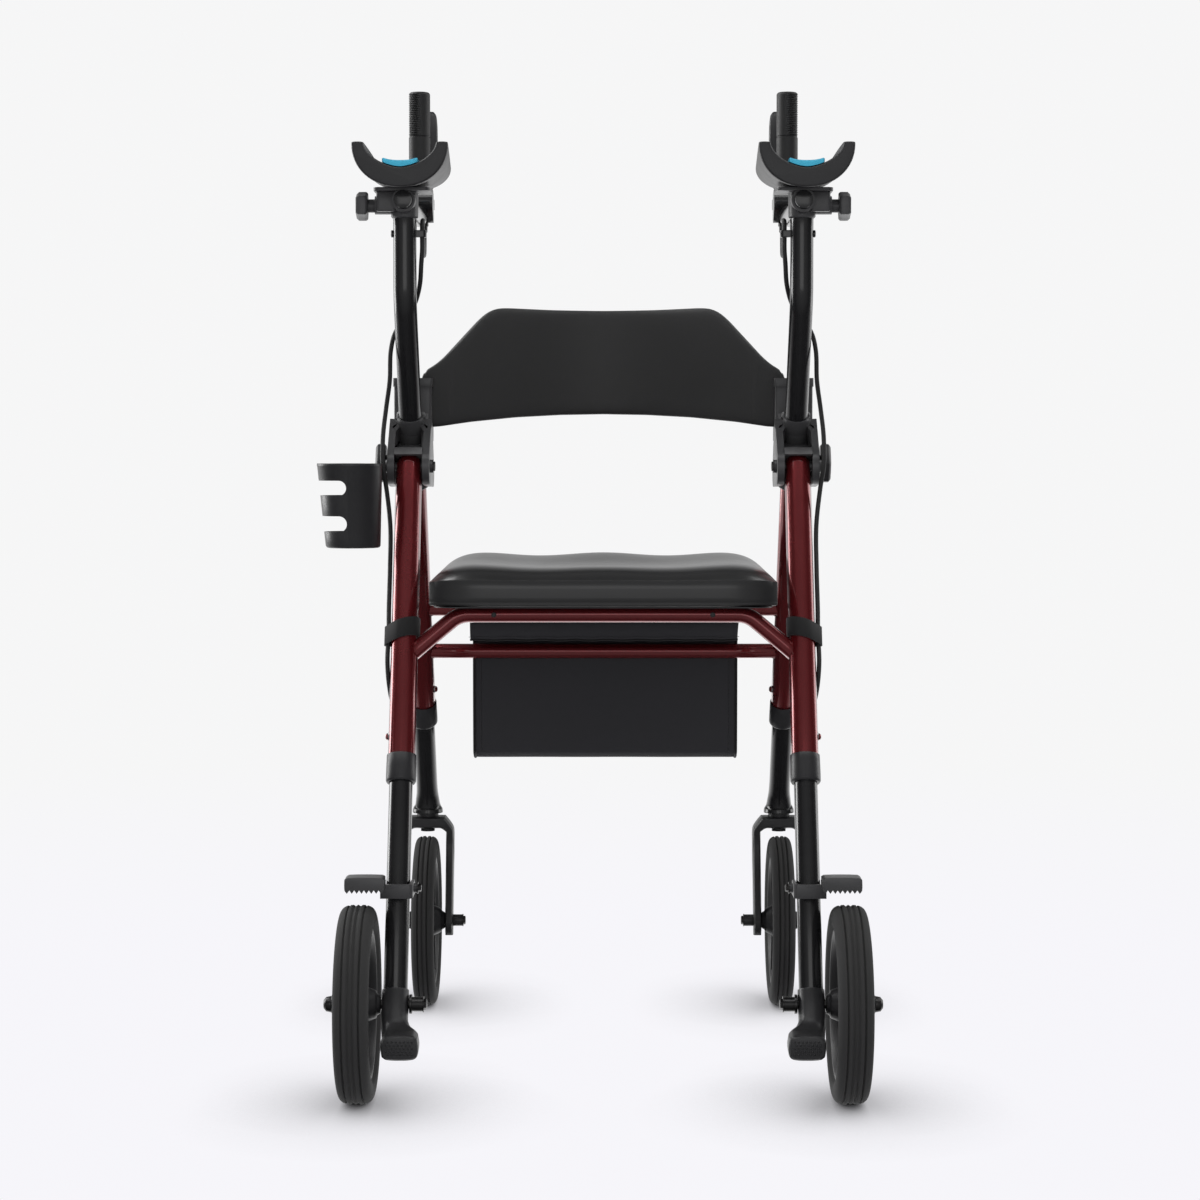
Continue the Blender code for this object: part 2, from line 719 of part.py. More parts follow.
def add_front_leg(side, sign):
    bore = SLIDE_TUBE + GAP + 0.0001
    bm = bmesh.new()
    profile = [
        (FRONT_TUBE_START, bore),
        (FRONT_TUBE_START, FRAME_TUBE),
        (FRONT_TUBE_END, FRAME_TUBE),
        (FRONT_TUBE_END, bore),
    ]
    lathe(bm, CASTER_HEAD, FRONT_UP, profile, TUBE_SIDES, looped=True)
    leg = add(f"front_leg_{side}", bm, RED_PAINT, front_point(FRONT_TUBE_START), sign)
    hole = bmesh.new()
    rod(hole, HEIGHT_KNOB, X_AXIS, 0.0, 0.03, KNOB_STUD + GAP, PIN_SIDES)
    cut(leg, hole, sign)
    join_button(leg, front_point(FRONT_BUTTON_ALONG), -X_AXIS, sign)


def add_front_lower_leg(side, sign):
    """The sliding tube of the front leg, bent upright at its foot into the caster's bearing head."""
    head_top = Vector((CASTER_HEAD.x, CASTER_HEAD.y, HEAD_HEIGHT))
    path = [front_point(FRONT_LOWER_END), front_point(HEAD_SOLID_END), front_point(0.016)]
    radii = [SLIDE_TUBE, SLIDE_TUBE, SLIDE_TUBE + 0.0005]
    path += [head_top + Vector((0, -0.0035, 0.0040)), head_top + Vector((0, 0, -0.0035))]
    radii += [0.0142, 0.0155]
    foot = Vector((CASTER_HEAD.x, CASTER_HEAD.y, HEAD_BOTTOM))
    path += [foot + Z_AXIS * 0.0045, foot]
    radii += [0.0180, 0.0185]
    rings = path_rings(path, radii, TUBE_SIDES)
    rings[-1] = oval(path[-1], X_AXIS, Y_AXIS, radii[-1], radii[-1], TUBE_SIDES)
    rings[-2] = oval(path[-2], X_AXIS, Y_AXIS, radii[-2], radii[-2], TUBE_SIDES)
    turned = (rings[0][1] - rings[0][0]).cross(FRONT_UP).dot(rings[0][0] - path[0])
    upright = (rings[-1][1] - rings[-1][0]).cross(Z_AXIS).dot(rings[-1][0] - path[-1])
    if turned * upright < 0:
        for index in (-1, -2):
            rings[index] = [rings[index][0]] + rings[index][:0:-1]
    bm = bmesh.new()
    loft(bm, rings)
    leg = add(f"front_lower_leg_{side}", bm, BLACK_PAINT, CASTER_HEAD, sign)
    hollow = bmesh.new()
    inner = SLIDE_TUBE - SLIDE_WALL
    bored = [front_point(HEAD_SOLID_END), front_point(FRONT_LOWER_END + 0.010)]
    loft(hollow, path_rings(bored, [inner, inner], TUBE_SIDES))
    cut(leg, hollow, sign)
    bore = bmesh.new()
    rod(bore, foot, Z_AXIS, -0.01, STEM_TOP + GAP - HEAD_BOTTOM, STEM + GAP, ROUND_SIDES)
    cut(leg, bore, sign)


def add_caster_fork(side, sign):
    """Two blades and a crown bent from one strap, with the stem above and the wheel's bolt below."""
    half_span = 0.0224 + BLADE_THICKNESS / 2
    crown_z = (CROWN_TOP + CROWN_BOTTOM) / 2
    stations = [
        (-half_span, WHEEL_RADIUS - 0.0175, 0.0060),
        (-half_span, WHEEL_RADIUS - 0.0115, 0.0120),
        (-half_span, WHEEL_RADIUS, BLADE_DEPTH / 2),
        (-half_span, crown_z - 0.030, BLADE_DEPTH / 2),
        (-half_span, crown_z - 0.0100, BLADE_DEPTH / 2 + 0.001),
        (-half_span + 0.0085, crown_z, BLADE_DEPTH / 2 + 0.002),
        (0.0, crown_z, BLADE_DEPTH / 2 + 0.003),
    ]
    stations += [(-x, z, half) for x, z, half in stations[-2::-1]]
    rings = []
    low_z = WHEEL_RADIUS
    high_z = crown_z - 0.030
    for index, (x, z, half) in enumerate(stations):
        share = min(max((z - low_z) / (high_z - low_z), 0.0), 1.0)
        y = FRONT_AXLE.y + CASTER_TRAIL * (3 * share**2 - 2 * share**3)
        before = stations[max(index - 1, 0)]
        after = stations[min(index + 1, len(stations) - 1)]
        tangent = Vector((after[0] - before[0], 0, after[1] - before[1])).normalized()
        normal = tangent.cross(Y_AXIS)
        centre = Vector((LEG_PLANE + x, y, z))
        thick = BLADE_THICKNESS / 2
        if z > crown_z - 0.0001:
            thick = (CROWN_TOP - CROWN_BOTTOM) / 2
        rings.append(oval(centre, normal, Y_AXIS, thick, half, 8, 5.0, math.pi / 8))
    bm = bmesh.new()
    loft(bm, rings)
    stem_base = Vector((CASTER_HEAD.x, CASTER_HEAD.y, 0))
    fork = add(f"caster_fork_{side}", bm, BLACK_PLASTIC, stem_base + Z_AXIS * crown_z, sign)
    stem = bmesh.new()
    profile = [
        (CROWN_BOTTOM - 0.0035, 0.0085),
        (CROWN_TOP - 0.0030, 0.0085),
        (CROWN_TOP - 0.0030, 0.0130),
        (HEAD_BOTTOM - GAP, 0.0130),
        (HEAD_BOTTOM - GAP, STEM),
        (STEM_TOP, STEM),
    ]
    lathe(stem, stem_base, Z_AXIS, profile, ROUND_SIDES)
    join(fork, stem, sign)
    reach = half_span + BLADE_THICKNESS / 2
    profile = [
        (-reach - 0.0120, 0.0070),
        (-reach + 0.0010, 0.0070),
        (-reach + 0.0010, AXLE),
        (reach - 0.0010, AXLE),
        (reach - 0.0010, 0.0075),
        (reach + 0.0090, 0.0075),
        (reach + 0.0120, 0.0050),
    ]
    bolt = bmesh.new()
    lathe(bolt, FRONT_AXLE, X_AXIS, profile, PIN_SIDES)
    join(fork, bolt, sign)


# Cross tubes

def add_front_bar(name, centre):
    """A cross tube whose ends are notched to sit on the front legs."""
    reach = LEG_PLANE - 0.004
    bm = bmesh.new()
    rod(bm, centre, X_AXIS, -reach, reach, CROSS_TUBE, ROUND_SIDES)
    bar = add(name, bm, RED_PAINT, centre)
    for _, sign in SIDES:
        notch = bmesh.new()
        rod(notch, front_at_height(centre.z), FRONT_UP, -0.04, 0.04, FRAME_TUBE + GAP + 0.0002, TUBE_SIDES)
        cut(bar, notch, sign)


def add_rear_seat_tube():
    """A flat arch between the rear legs that the seat rests on."""
    y = REAR_BAR.y
    low = Vector((LEG_PLANE - 0.004, y, REAR_BAR.z - 0.003))
    high = Vector((REAR_BAR_HALF_FLAT, y, REAR_BAR_Z))
    route = [
        Vector((-low.x, low.y, low.z)),
        Vector((-high.x, high.y, high.z)),
        high,
        low,
    ]
    bm = bmesh.new()
    path = rounded_path(route, 0.030, 3)
    loft(bm, path_rings(path, [CROSS_TUBE] * len(path), ROUND_SIDES))
    bar = add("rear_seat_tube", bm, RED_PAINT, Vector((0, y, REAR_BAR_Z)))
    for _, sign in SIDES:
        notch = bmesh.new()
        rod(notch, rear_at_height(REAR_BAR.z), REAR_UP, -0.05, 0.05, FRAME_TUBE + GAP + 0.0002, TUBE_SIDES)
        cut(bar, notch, sign)


# Brackets

def add_bracket(side, sign):
    """The casting that joins front leg, rear leg, post and backrest, the fold pin through its lugs."""
    bm = bmesh.new()
    lathe(
        bm,
        CASTER_HEAD,
        FRONT_UP,
        [
            (SLEEVE_START, SLEEVE_RADIUS - 0.0015),
            (SLEEVE_START + 0.0020, SLEEVE_RADIUS),
            (CAP_END - 0.0040, SLEEVE_RADIUS),
            (CAP_END, SLEEVE_RADIUS - 0.0030),
        ],
        TUBE_SIDES,
    )
    bracket = add(f"bracket_{side}", bm, BLACK_PLASTIC, FOLD_CENTRE, sign)
    low = front_point(SLEEVE_START + 0.014)
    high = front_point(FRONT_TUBE_END - 0.004)
    lug = hull([
        (FOLD_CENTRE.y, FOLD_CENTRE.z, LUG_RADIUS),
        (low.y, low.z, SLEEVE_RADIUS - 0.0035),
        (high.y, high.z, SLEEVE_RADIUS - 0.0035),
    ], 12)
    for start, end in ((-LUG_OUTER, -LUG_INNER), (LUG_INNER, LUG_OUTER)):
        plate = bmesh.new()
        side_prism(plate, lug, LEG_PLANE + start, LEG_PLANE + end)
        join(bracket, plate, sign)
    outline = []
    for radius, steps in ((HOOD_OUTER, range(0, 6)), (HOOD_INNER, range(5, -1, -1))):
        for step in steps:
            angle = math.radians(154 * step / 5)
            rim = FOLD_CENTRE + (Y_AXIS * math.cos(angle) + Z_AXIS * math.sin(angle)) * radius
            outline.append((rim.y, rim.z))
    hood = bmesh.new()
    side_prism(hood, outline, LEG_PLANE - LUG_INNER - 0.002, LEG_PLANE + LUG_INNER + 0.002)
    join(bracket, hood, sign)
    middle = front_point(SLEEVE_START + 0.046)
    web = bmesh.new()
    web_outline = hull([
        (FOLD_CENTRE.y + 0.026, FOLD_CENTRE.z + 0.012, 0.009),
        (middle.y, middle.z, 0.014),
    ], 12)
    side_prism(web, web_outline, LEG_PLANE - LUG_INNER - 0.001, LEG_PLANE + LUG_INNER + 0.001)
    join(bracket, web, sign)
    neck = bmesh.new()
    neck_outline = hull([
        (middle.y, middle.z, 0.0165),
        (POCKET_REAR + 0.0045, POCKET_BOTTOM + 0.0300, 0.004),
        (POCKET_FRONT - 0.0075, POCKET_BOTTOM + 0.0100, 0.007),
    ], 12)
    side_prism(neck, neck_outline, LEG_PLANE - 0.0180, LEG_PLANE + 0.0180)
    join(bracket, neck, sign)
    add_pocket(bracket, sign)
    pin = bmesh.new()
    profile = [
        (-LUG_OUTER - 0.0035, 0.0070),
        (-LUG_OUTER + 0.0005, 0.0075),
        (-LUG_OUTER + 0.0005, FOLD_PIN),
        (LUG_OUTER - 0.0005, FOLD_PIN),
        (LUG_OUTER - 0.0005, 0.0075),
        (LUG_OUTER + 0.0035, 0.0070),
    ]
    lathe(pin, FOLD_CENTRE, X_AXIS, profile, PIN_SIDES)
    join(bracket, pin, sign)
    bore = bmesh.new()
    profile = [
        (SLEEVE_START - 0.02, FRAME_TUBE + GAP),
        (FRONT_TUBE_END + GAP, FRAME_TUBE + GAP),
        (FRONT_TUBE_END + GAP, SLIDE_TUBE + GAP),
        (CAP_END + 0.11, SLIDE_TUBE + GAP),
    ]
    lathe(bore, CASTER_HEAD, FRONT_UP, profile, TUBE_SIDES)
    cut(bracket, bore, sign)
    hole = bmesh.new()
    rod(hole, HEIGHT_KNOB, X_AXIS, 0.005, 0.03, KNOB_STUD + GAP, PIN_SIDES)
    cut(bracket, hole, sign)


def add_pocket(bracket, sign):
    """The backrest's pocket, open above and towards the middle of the frame."""
    inner = LEG_PLANE - 0.0218
    outer = LEG_PLANE + 0.0205
    rim = 0.0010
    rim_bottom = POCKET_TOP - 0.0090
    for start, end, grow in ((POCKET_BOTTOM, rim_bottom, 0.0), (rim_bottom - 0.0005, POCKET_TOP, rim)):
        low = (inner - grow, POCKET_REAR - grow)
        high = (outer + grow, POCKET_FRONT + grow)
        shell = bmesh.new()
        prism(shell, rounded_box(low, high, 0.004, 12), X_AXIS, Y_AXIS, Z_AXIS, start, end)
        join(bracket, shell, sign)
    half = BACK_THICKNESS / 2 + 0.0012
    centre = (POCKET_REAR + POCKET_FRONT) / 2 + 0.0006
    low = (inner - 0.01, centre - half, BACK_END_BOTTOM - 0.0006)
    high = (BACK_HALF_WIDTH + 0.0006, centre + half, POCKET_TOP + 0.05)
    opening = bmesh.new()
    box(opening, low, high)
    cut(bracket, opening, sign)


def lobed_head(bm, centre, axis, start, end, radius, lobes, depth):
    """A knob's head, its rim waved for grip and its edges eased."""
    u, v = across(axis)
    count = lobes * 3
    rings = []
    for along, shrink in ((start, 0.88), (start + 0.002, 1.0), (end - 0.0025, 1.0), (end, 0.84)):
        ring = []
        for index in range(count):
            angle = 2 * math.pi * index / count
            reach = (radius - depth + depth * math.cos(lobes * angle)) * shrink
            ring.append(centre + axis * along + u * (reach * math.cos(angle)) + v * (reach * math.sin(angle)))
        rings.append(ring)
    loft(bm, rings)


def add_height_knob(side, sign):
    bm = bmesh.new()
    lobed_head(bm, HEIGHT_KNOB, X_AXIS, 0.0290, 0.0400, 0.0235, 6, 0.0012)
    knob = add(f"height_knob_{side}", bm, BLACK_PLASTIC, HEIGHT_KNOB, sign)
    stud = bmesh.new()
    profile = [
        (SLIDE_TUBE + GAP, KNOB_STUD),
        (LUG_OUTER + GAP, KNOB_STUD),
        (LUG_OUTER + GAP, 0.0090),
        (0.0300, 0.0090),
    ]
    lathe(stud, HEIGHT_KNOB, X_AXIS, profile, PIN_SIDES)
    join(knob, stud, sign)


# Posts and forearm rests

def post_path():
    corner = Vector((LEG_PLANE, POST_Y, POST_BEND_Z))
    route = [front_point(POST_START), corner, Vector((LEG_PLANE, POST_Y, POST_TOP))]
    return rounded_path(route, POST_BEND_RADIUS, 3)


def add_post(side, sign):
    """The sliding post, bent upright at its top, with the cable's guide bolted to it."""
    bm = bmesh.new()
    pipe(bm, post_path(), SLIDE_TUBE, SLIDE_WALL)
    post = add(f"post_{side}", bm, BLACK_PAINT, front_point(POST_START), sign)
    axis_point = Vector((0, POST_Y, GUIDE_Z))
    clip = bmesh.new()
    inner = LEG_PLANE - SLIDE_TUBE
    outline = hull([(inner - 0.0062, POST_Y, 0.0048), (inner + 0.0006, POST_Y, 0.0048)], 12)
    prism(clip, outline, X_AXIS, Y_AXIS, Z_AXIS, GUIDE_Z - 0.0038, GUIDE_Z + 0.0038)
    join(post, clip, sign)
    head = bmesh.new()
    outer = LEG_PLANE + SLIDE_TUBE
    profile = [(outer - 0.0010, 0.0040), (outer + 0.0018, 0.0040), (outer + 0.0024, 0.0026)]
    lathe(head, axis_point, X_AXIS, profile, PIN_SIDES)
    join(post, head, sign)
    bore = bmesh.new()
    guide = Vector((inner - 0.0062, POST_Y, GUIDE_Z))
    rod(bore, guide, Z_AXIS, -0.01, 0.01, CABLE + GAP, PIN_SIDES)
    cut(post, bore, sign)


def add_trough_clamp(side, sign):
    """The block on the post that carries the trough and grips the reach bar."""
    post_axis = Vector((LEG_PLANE, POST_Y, 0))
    bar_axis = Vector((LEG_PLANE, POST_Y, REACH_BAR_Z))
    bm = bmesh.new()
    profile = [(CLAMP_BOTTOM, 0.0135), (CLAMP_BOTTOM + 0.0015, 0.0146), (CLAMP_TOP - 0.0004, 0.0146)]
    lathe(bm, post_axis, Z_AXIS, profile, TUBE_SIDES)
    clamp = add(f"trough_clamp_{side}", bm, BLACK_PLASTIC, Vector((LEG_PLANE, POST_Y, CLAMP_BOTTOM)), sign)
    barrel = bmesh.new()
    rod(barrel, bar_axis, Y_AXIS, -0.0250, 0.0250, 0.0128, TUBE_SIDES)
    join(clamp, barrel, sign)
    plate = bmesh.new()
    low = (LEG_PLANE - 0.0289, POST_Y - CLAMP_HALF_LENGTH)
    high = (LEG_PLANE + 0.0318, POST_Y + CLAMP_HALF_LENGTH)
    outline = rounded_box(low, high, 0.008, 12)
    prism(plate, outline, X_AXIS, Y_AXIS, Z_AXIS, CLAMP_TOP - 0.0034, CLAMP_TOP)
    join(clamp, plate, sign)
    boss = bmesh.new()
    rod(boss, Vector((LEG_PLANE, POST_Y, REACH_KNOB_Z + 0.0006)), X_AXIS, 0.0080, 0.0318, 0.0098, ROUND_SIDES)
    join(clamp, boss, sign)
    socket = bmesh.new()
    rod(socket, post_axis, Z_AXIS, CLAMP_BOTTOM - 0.01, POST_TOP + GAP, SLIDE_TUBE + GAP, TUBE_SIDES)
    cut(clamp, socket, sign)
    bar = bmesh.new()
    rod(bar, bar_axis, Y_AXIS, -0.06, 0.06, REACH_BAR + GAP, ROUND_SIDES)
    cut(clamp, bar, sign)
    hole = bmesh.new()
    rod(hole, Vector((LEG_PLANE, POST_Y, REACH_KNOB_Z)), X_AXIS, 0.0060, 0.05, KNOB_STUD + GAP, PIN_SIDES)
    cut(clamp, hole, sign)


def add_reach_knob(side, sign):
    centre = Vector((LEG_PLANE, POST_Y, REACH_KNOB_Z))
    bm = bmesh.new()
    lobed_head(bm, centre, X_AXIS, 0.0395, 0.0520, 0.0163, 5, 0.0022)
    knob = add(f"reach_knob_{side}", bm, BLACK_PLASTIC, centre, sign)
    drop = REACH_BAR_Z - REACH_KNOB_Z
    tip = math.sqrt(REACH_BAR**2 - (drop - KNOB_STUD) ** 2) + 0.0006
    stud = bmesh.new()
    profile = [(tip, KNOB_STUD), (0.0321, KNOB_STUD), (0.0321, 0.0072), (0.0400, 0.0072)]
    lathe(stud, centre, X_AXIS, profile, PIN_SIDES)
    join(knob, stud, sign)


def trough_section(y):
    """Tip height, outer half width and depth, inner half width and depth of the trough at this place."""
    share = (y - TROUGH_REAR) / (TROUGH_FRONT - TROUGH_REAR)
    tip = CLAMP_TOP + 0.0450 - 0.0102 * share**1.5
    bottom = CLAMP_TOP + GAP
    rear_edge = POST_Y - CLAMP_HALF_LENGTH
    front_edge = POST_Y + CLAMP_HALF_LENGTH
    if y < rear_edge:
        bottom -= 0.0040 * (rear_edge - y) / (rear_edge - TROUGH_REAR)
    elif y > front_edge:
        bottom += 0.0075 * (y - front_edge) / (TROUGH_FRONT - front_edge)
    outer = 0.0523 - 0.0093 * share
    inner = 0.0389 - 0.0045 * share
    inner_bottom = CLAMP_TOP + 0.0196 - 0.0020 * share
    return tip, outer, tip - bottom, inner, tip - inner_bottom


def add_trough_shell(side, sign):
    """A channel for the forearm, thick at the bottom and rounded at its lips."""
    stations = [TROUGH_REAR, TROUGH_REAR + 0.004, POST_Y - CLAMP_HALF_LENGTH, POST_Y + CLAMP_HALF_LENGTH]
    stations += [TROUGH_FRONT - 0.040, TROUGH_FRONT - 0.004, TROUGH_FRONT]
    rings = []
    for index, y in enumerate(stations):
        tip, outer, outer_depth, inner, inner_depth = trough_section(y)
        ease = 0.0015 if index in (0, len(stations) - 1) else 0.0
        ring = []
        for step in range(13):
            angle = math.pi * step / 12
            x = (outer - ease) * math.cos(angle)
            z = tip - (outer_depth - ease) * math.sin(angle)
            ring.append(Vector((LEG_PLANE + x, y, z)))
        middle = (outer + inner) / 2
        ring.append(Vector((LEG_PLANE - middle, y, tip + 0.0040 - ease)))
        for step in range(11):
            angle = math.pi - math.pi * step / 10
            x = (inner + ease) * math.cos(angle)
            z = tip - (inner_depth + ease) * math.sin(angle)
            ring.append(Vector((LEG_PLANE + x, y, z)))
        ring.append(Vector((LEG_PLANE + middle, y, tip + 0.0040 - ease)))
        rings.append(ring)
    bm = bmesh.new()
    loft(bm, rings)
    add(f"trough_shell_{side}", bm, BLACK_PAD, Vector((LEG_PLANE, POST_Y, CLAMP_TOP)), sign)


def add_trough_pad(side, sign):
    """The soft pad laid in the bottom of the trough."""
    stations = (
        (TROUGH_REAR + 0.001, -0.002),
        (TROUGH_REAR + 0.004, 0.0),
        (POST_Y + 0.0224, 0.0),
        (TROUGH_FRONT - 0.014, 0.0),
        (TROUGH_FRONT - 0.010, -0.002),
    )
    rings = []
    for y, grow in stations:
        tip, _, _, inner, depth = trough_section(y)
        half = 0.0195 + grow
        ring = []
        for step in range(9):
            x = -half + 2 * half * step / 8
            drop = depth * math.sqrt(1 - (x / inner) ** 2)
            ring.append(Vector((LEG_PLANE + x, y, tip - drop + GAP + 0.0003)))
        for step in range(7):
            x = half - 2 * half * step / 6
            lift = 0.0095 + grow - 0.0016 * math.cos(math.pi * x / (2 * half))
            ring.append(Vector((LEG_PLANE + x, y, tip - depth + lift + 0.0025 * abs(x / half) ** 3)))
        rings.append(ring)
    bm = bmesh.new()
    loft(bm, rings)
    add(f"trough_pad_{side}", bm, BLUE_GEL, Vector((LEG_PLANE, POST_Y, CLAMP_TOP)), sign)


def add_reach_bar(side, sign):
    """The bar that slides through the clamp, turns up inside the grip and carries the lever's housing."""
    route = [
        Vector((LEG_PLANE, POST_Y - 0.0356, REACH_BAR_Z)),
        Vector((LEG_PLANE, GRIP_Y, REACH_BAR_Z)),
        Vector((LEG_PLANE, GRIP_Y, GRIP_TOP - 0.012)),
    ]
    path = rounded_path(route, 0.030, 5)
    bm = bmesh.new()
    loft(bm, path_rings(path, [REACH_BAR] * len(path), ROUND_SIDES))
    bar = add(f"reach_bar_{side}", bm, BLACK_PAINT, Vector((LEG_PLANE, POST_Y, REACH_BAR_Z)), sign)
    housing = bmesh.new()
    outline = hull([
        (GRIP_Y - 0.0020, HOUSING_TOP - 0.0150, 0.0140),
        (GRIP_Y + 0.0060, HOUSING_BOTTOM + 0.0090, 0.0090),
        (GRIP_Y + 0.0040, HOUSING_TOP - 0.0120, 0.0095),
    ], 12)
    side_prism(housing, outline, HOUSING_INNER, HOUSING_INNER + 0.0250)
    join(bar, housing, sign)
    for start in (HOUSING_INNER, HOUSING_INNER + 0.0190):
        ear = bmesh.new()
        outline = hull([(GRIP_Y + 0.010, LEVER_PIVOT_Z, 0.0060), (LEVER_PIVOT_Y, LEVER_PIVOT_Z, 0.0060)], 12)
        side_prism(ear, outline, start, start + 0.0060)
        join(bar, ear, sign)
    pin = bmesh.new()
    pivot = Vector((HOUSING_INNER, LEVER_PIVOT_Y, LEVER_PIVOT_Z))
    rod(pin, pivot, X_AXIS, 0.0011, 0.0231, LEVER_PIN, PIN_SIDES)
    join(bar, pin, sign)


def add_grip(side, sign):
    """The hand grip, ribbed round its upper part."""
    base = Vector((LEG_PLANE, GRIP_Y, 0))
    ribs_top = GRIP_TOP - 0.0080
    ribs_bottom = GRIP_TOP - 0.0476
    pitch = (ribs_top - ribs_bottom) / GRIP_RIBS
    profile = [
        (GRIP_TOP - 0.010, 0),
        (GRIP_TOP - 0.010, REACH_BAR + GAP),
        (GRIP_BOTTOM, REACH_BAR + GAP),
        (GRIP_BOTTOM, GRIP_RADIUS + 0.0008),
        (GRIP_BOTTOM + 0.0030, GRIP_RADIUS + 0.0012),
        (GRIP_BOTTOM + 0.0060, GRIP_RADIUS),
        (ribs_bottom - 0.0015, GRIP_RADIUS),
    ]
    for rib in range(GRIP_RIBS):
        low = ribs_bottom + pitch * rib
        profile += [(low, GRIP_RADIUS - 0.0007), (low + pitch / 2, GRIP_RADIUS)]
    profile += [
        (ribs_top, GRIP_RADIUS - 0.0005),
        (GRIP_TOP - 0.0015, GRIP_RADIUS - 0.0025),
        (GRIP_TOP, GRIP_RADIUS - 0.0055),
        (GRIP_TOP, 0),
    ]
    bm = bmesh.new()
    lathe(bm, base, Z_AXIS, profile, ROUND_SIDES)
    add(f"grip_{side}", bm, BLACK_RUBBER, Vector((LEG_PLANE, GRIP_Y, GRIP_BOTTOM)), sign)


def add_brake_lever(side, sign):
    """The lever before the grip, squeezed towards it."""
    pivot = Vector((HOUSING_INNER + 0.0125, LEVER_PIVOT_Y, LEVER_PIVOT_Z))
    stations = [
        (0.0000, 0.0000, 0.0055, 0.0052),
        (0.0070, 0.0110, 0.0055, 0.0052),
        (0.0170, 0.0300, 0.0080, 0.0044),
        (0.0250, 0.0600, 0.0090, 0.0038),
        (0.0310, 0.0900, 0.0088, 0.0036),
        (0.0360, 0.1080, 0.0070, 0.0036),
        (0.0375, 0.1120, 0.0045, 0.0025),
    ]
    rings = []
    for index, (y, z, half_x, half_v) in enumerate(stations):
        before = stations[max(index - 1, 0)]
        after = stations[min(index + 1, len(stations) - 1)]
        tangent = Vector((0, after[0] - before[0], after[1] - before[1])).normalized()
        u, v = across(tangent)
        shift = -0.0060 if index > 1 else 0.0
        rings.append(oval(pivot + Vector((shift, y, z)), u, v, half_x, half_v, 10, 2.6))
    bm = bmesh.new()
    loft(bm, rings)
    lever = add(f"brake_lever_{side}", bm, BLACK_PLASTIC, pivot, sign)
    knuckle = bmesh.new()
    rod(knuckle, pivot, X_AXIS, -0.0060, 0.0060, 0.0056, PIN_SIDES)
    join(lever, knuckle, sign)
    bore = bmesh.new()
    rod(bore, pivot, X_AXIS, -0.02, 0.02, LEVER_PIN + GAP, PIN_SIDES)
    cut(lever, bore, sign)


# Brake cables

def smooth_points(route, spacing):
    """Points on a smooth curve through the route's own points, closer where the route turns tightly."""
    points = [2 * route[0] - route[1]] + route + [2 * route[-1] - route[-2]]
    smooth = []
    for p0, p1, p2, p3 in zip(points, points[1:], points[2:], points[3:]):
        lengths = [max((b - a).length, 1e-6) ** 0.5 for a, b in ((p0, p1), (p1, p2), (p2, p3))]
        start_pull = (p1 - p0) / lengths[0] - (p2 - p0) / (lengths[0] + lengths[1]) + (p2 - p1) / lengths[1]
        end_pull = (p2 - p1) / lengths[1] - (p3 - p1) / (lengths[1] + lengths[2]) + (p3 - p2) / lengths[2]
        start_pull *= lengths[1]
        end_pull *= lengths[1]
        steps = max(1, round((p2 - p1).length / spacing))
        for step in range(steps):
            t = step / steps
            smooth.append(
                p1 * (2 * t**3 - 3 * t**2 + 1)
                + start_pull * (t**3 - 2 * t**2 + t)
                + p2 * (3 * t**2 - 2 * t**3)
                + end_pull * (t**3 - t**2)
            )
    smooth.append(route[-1])
    return smooth


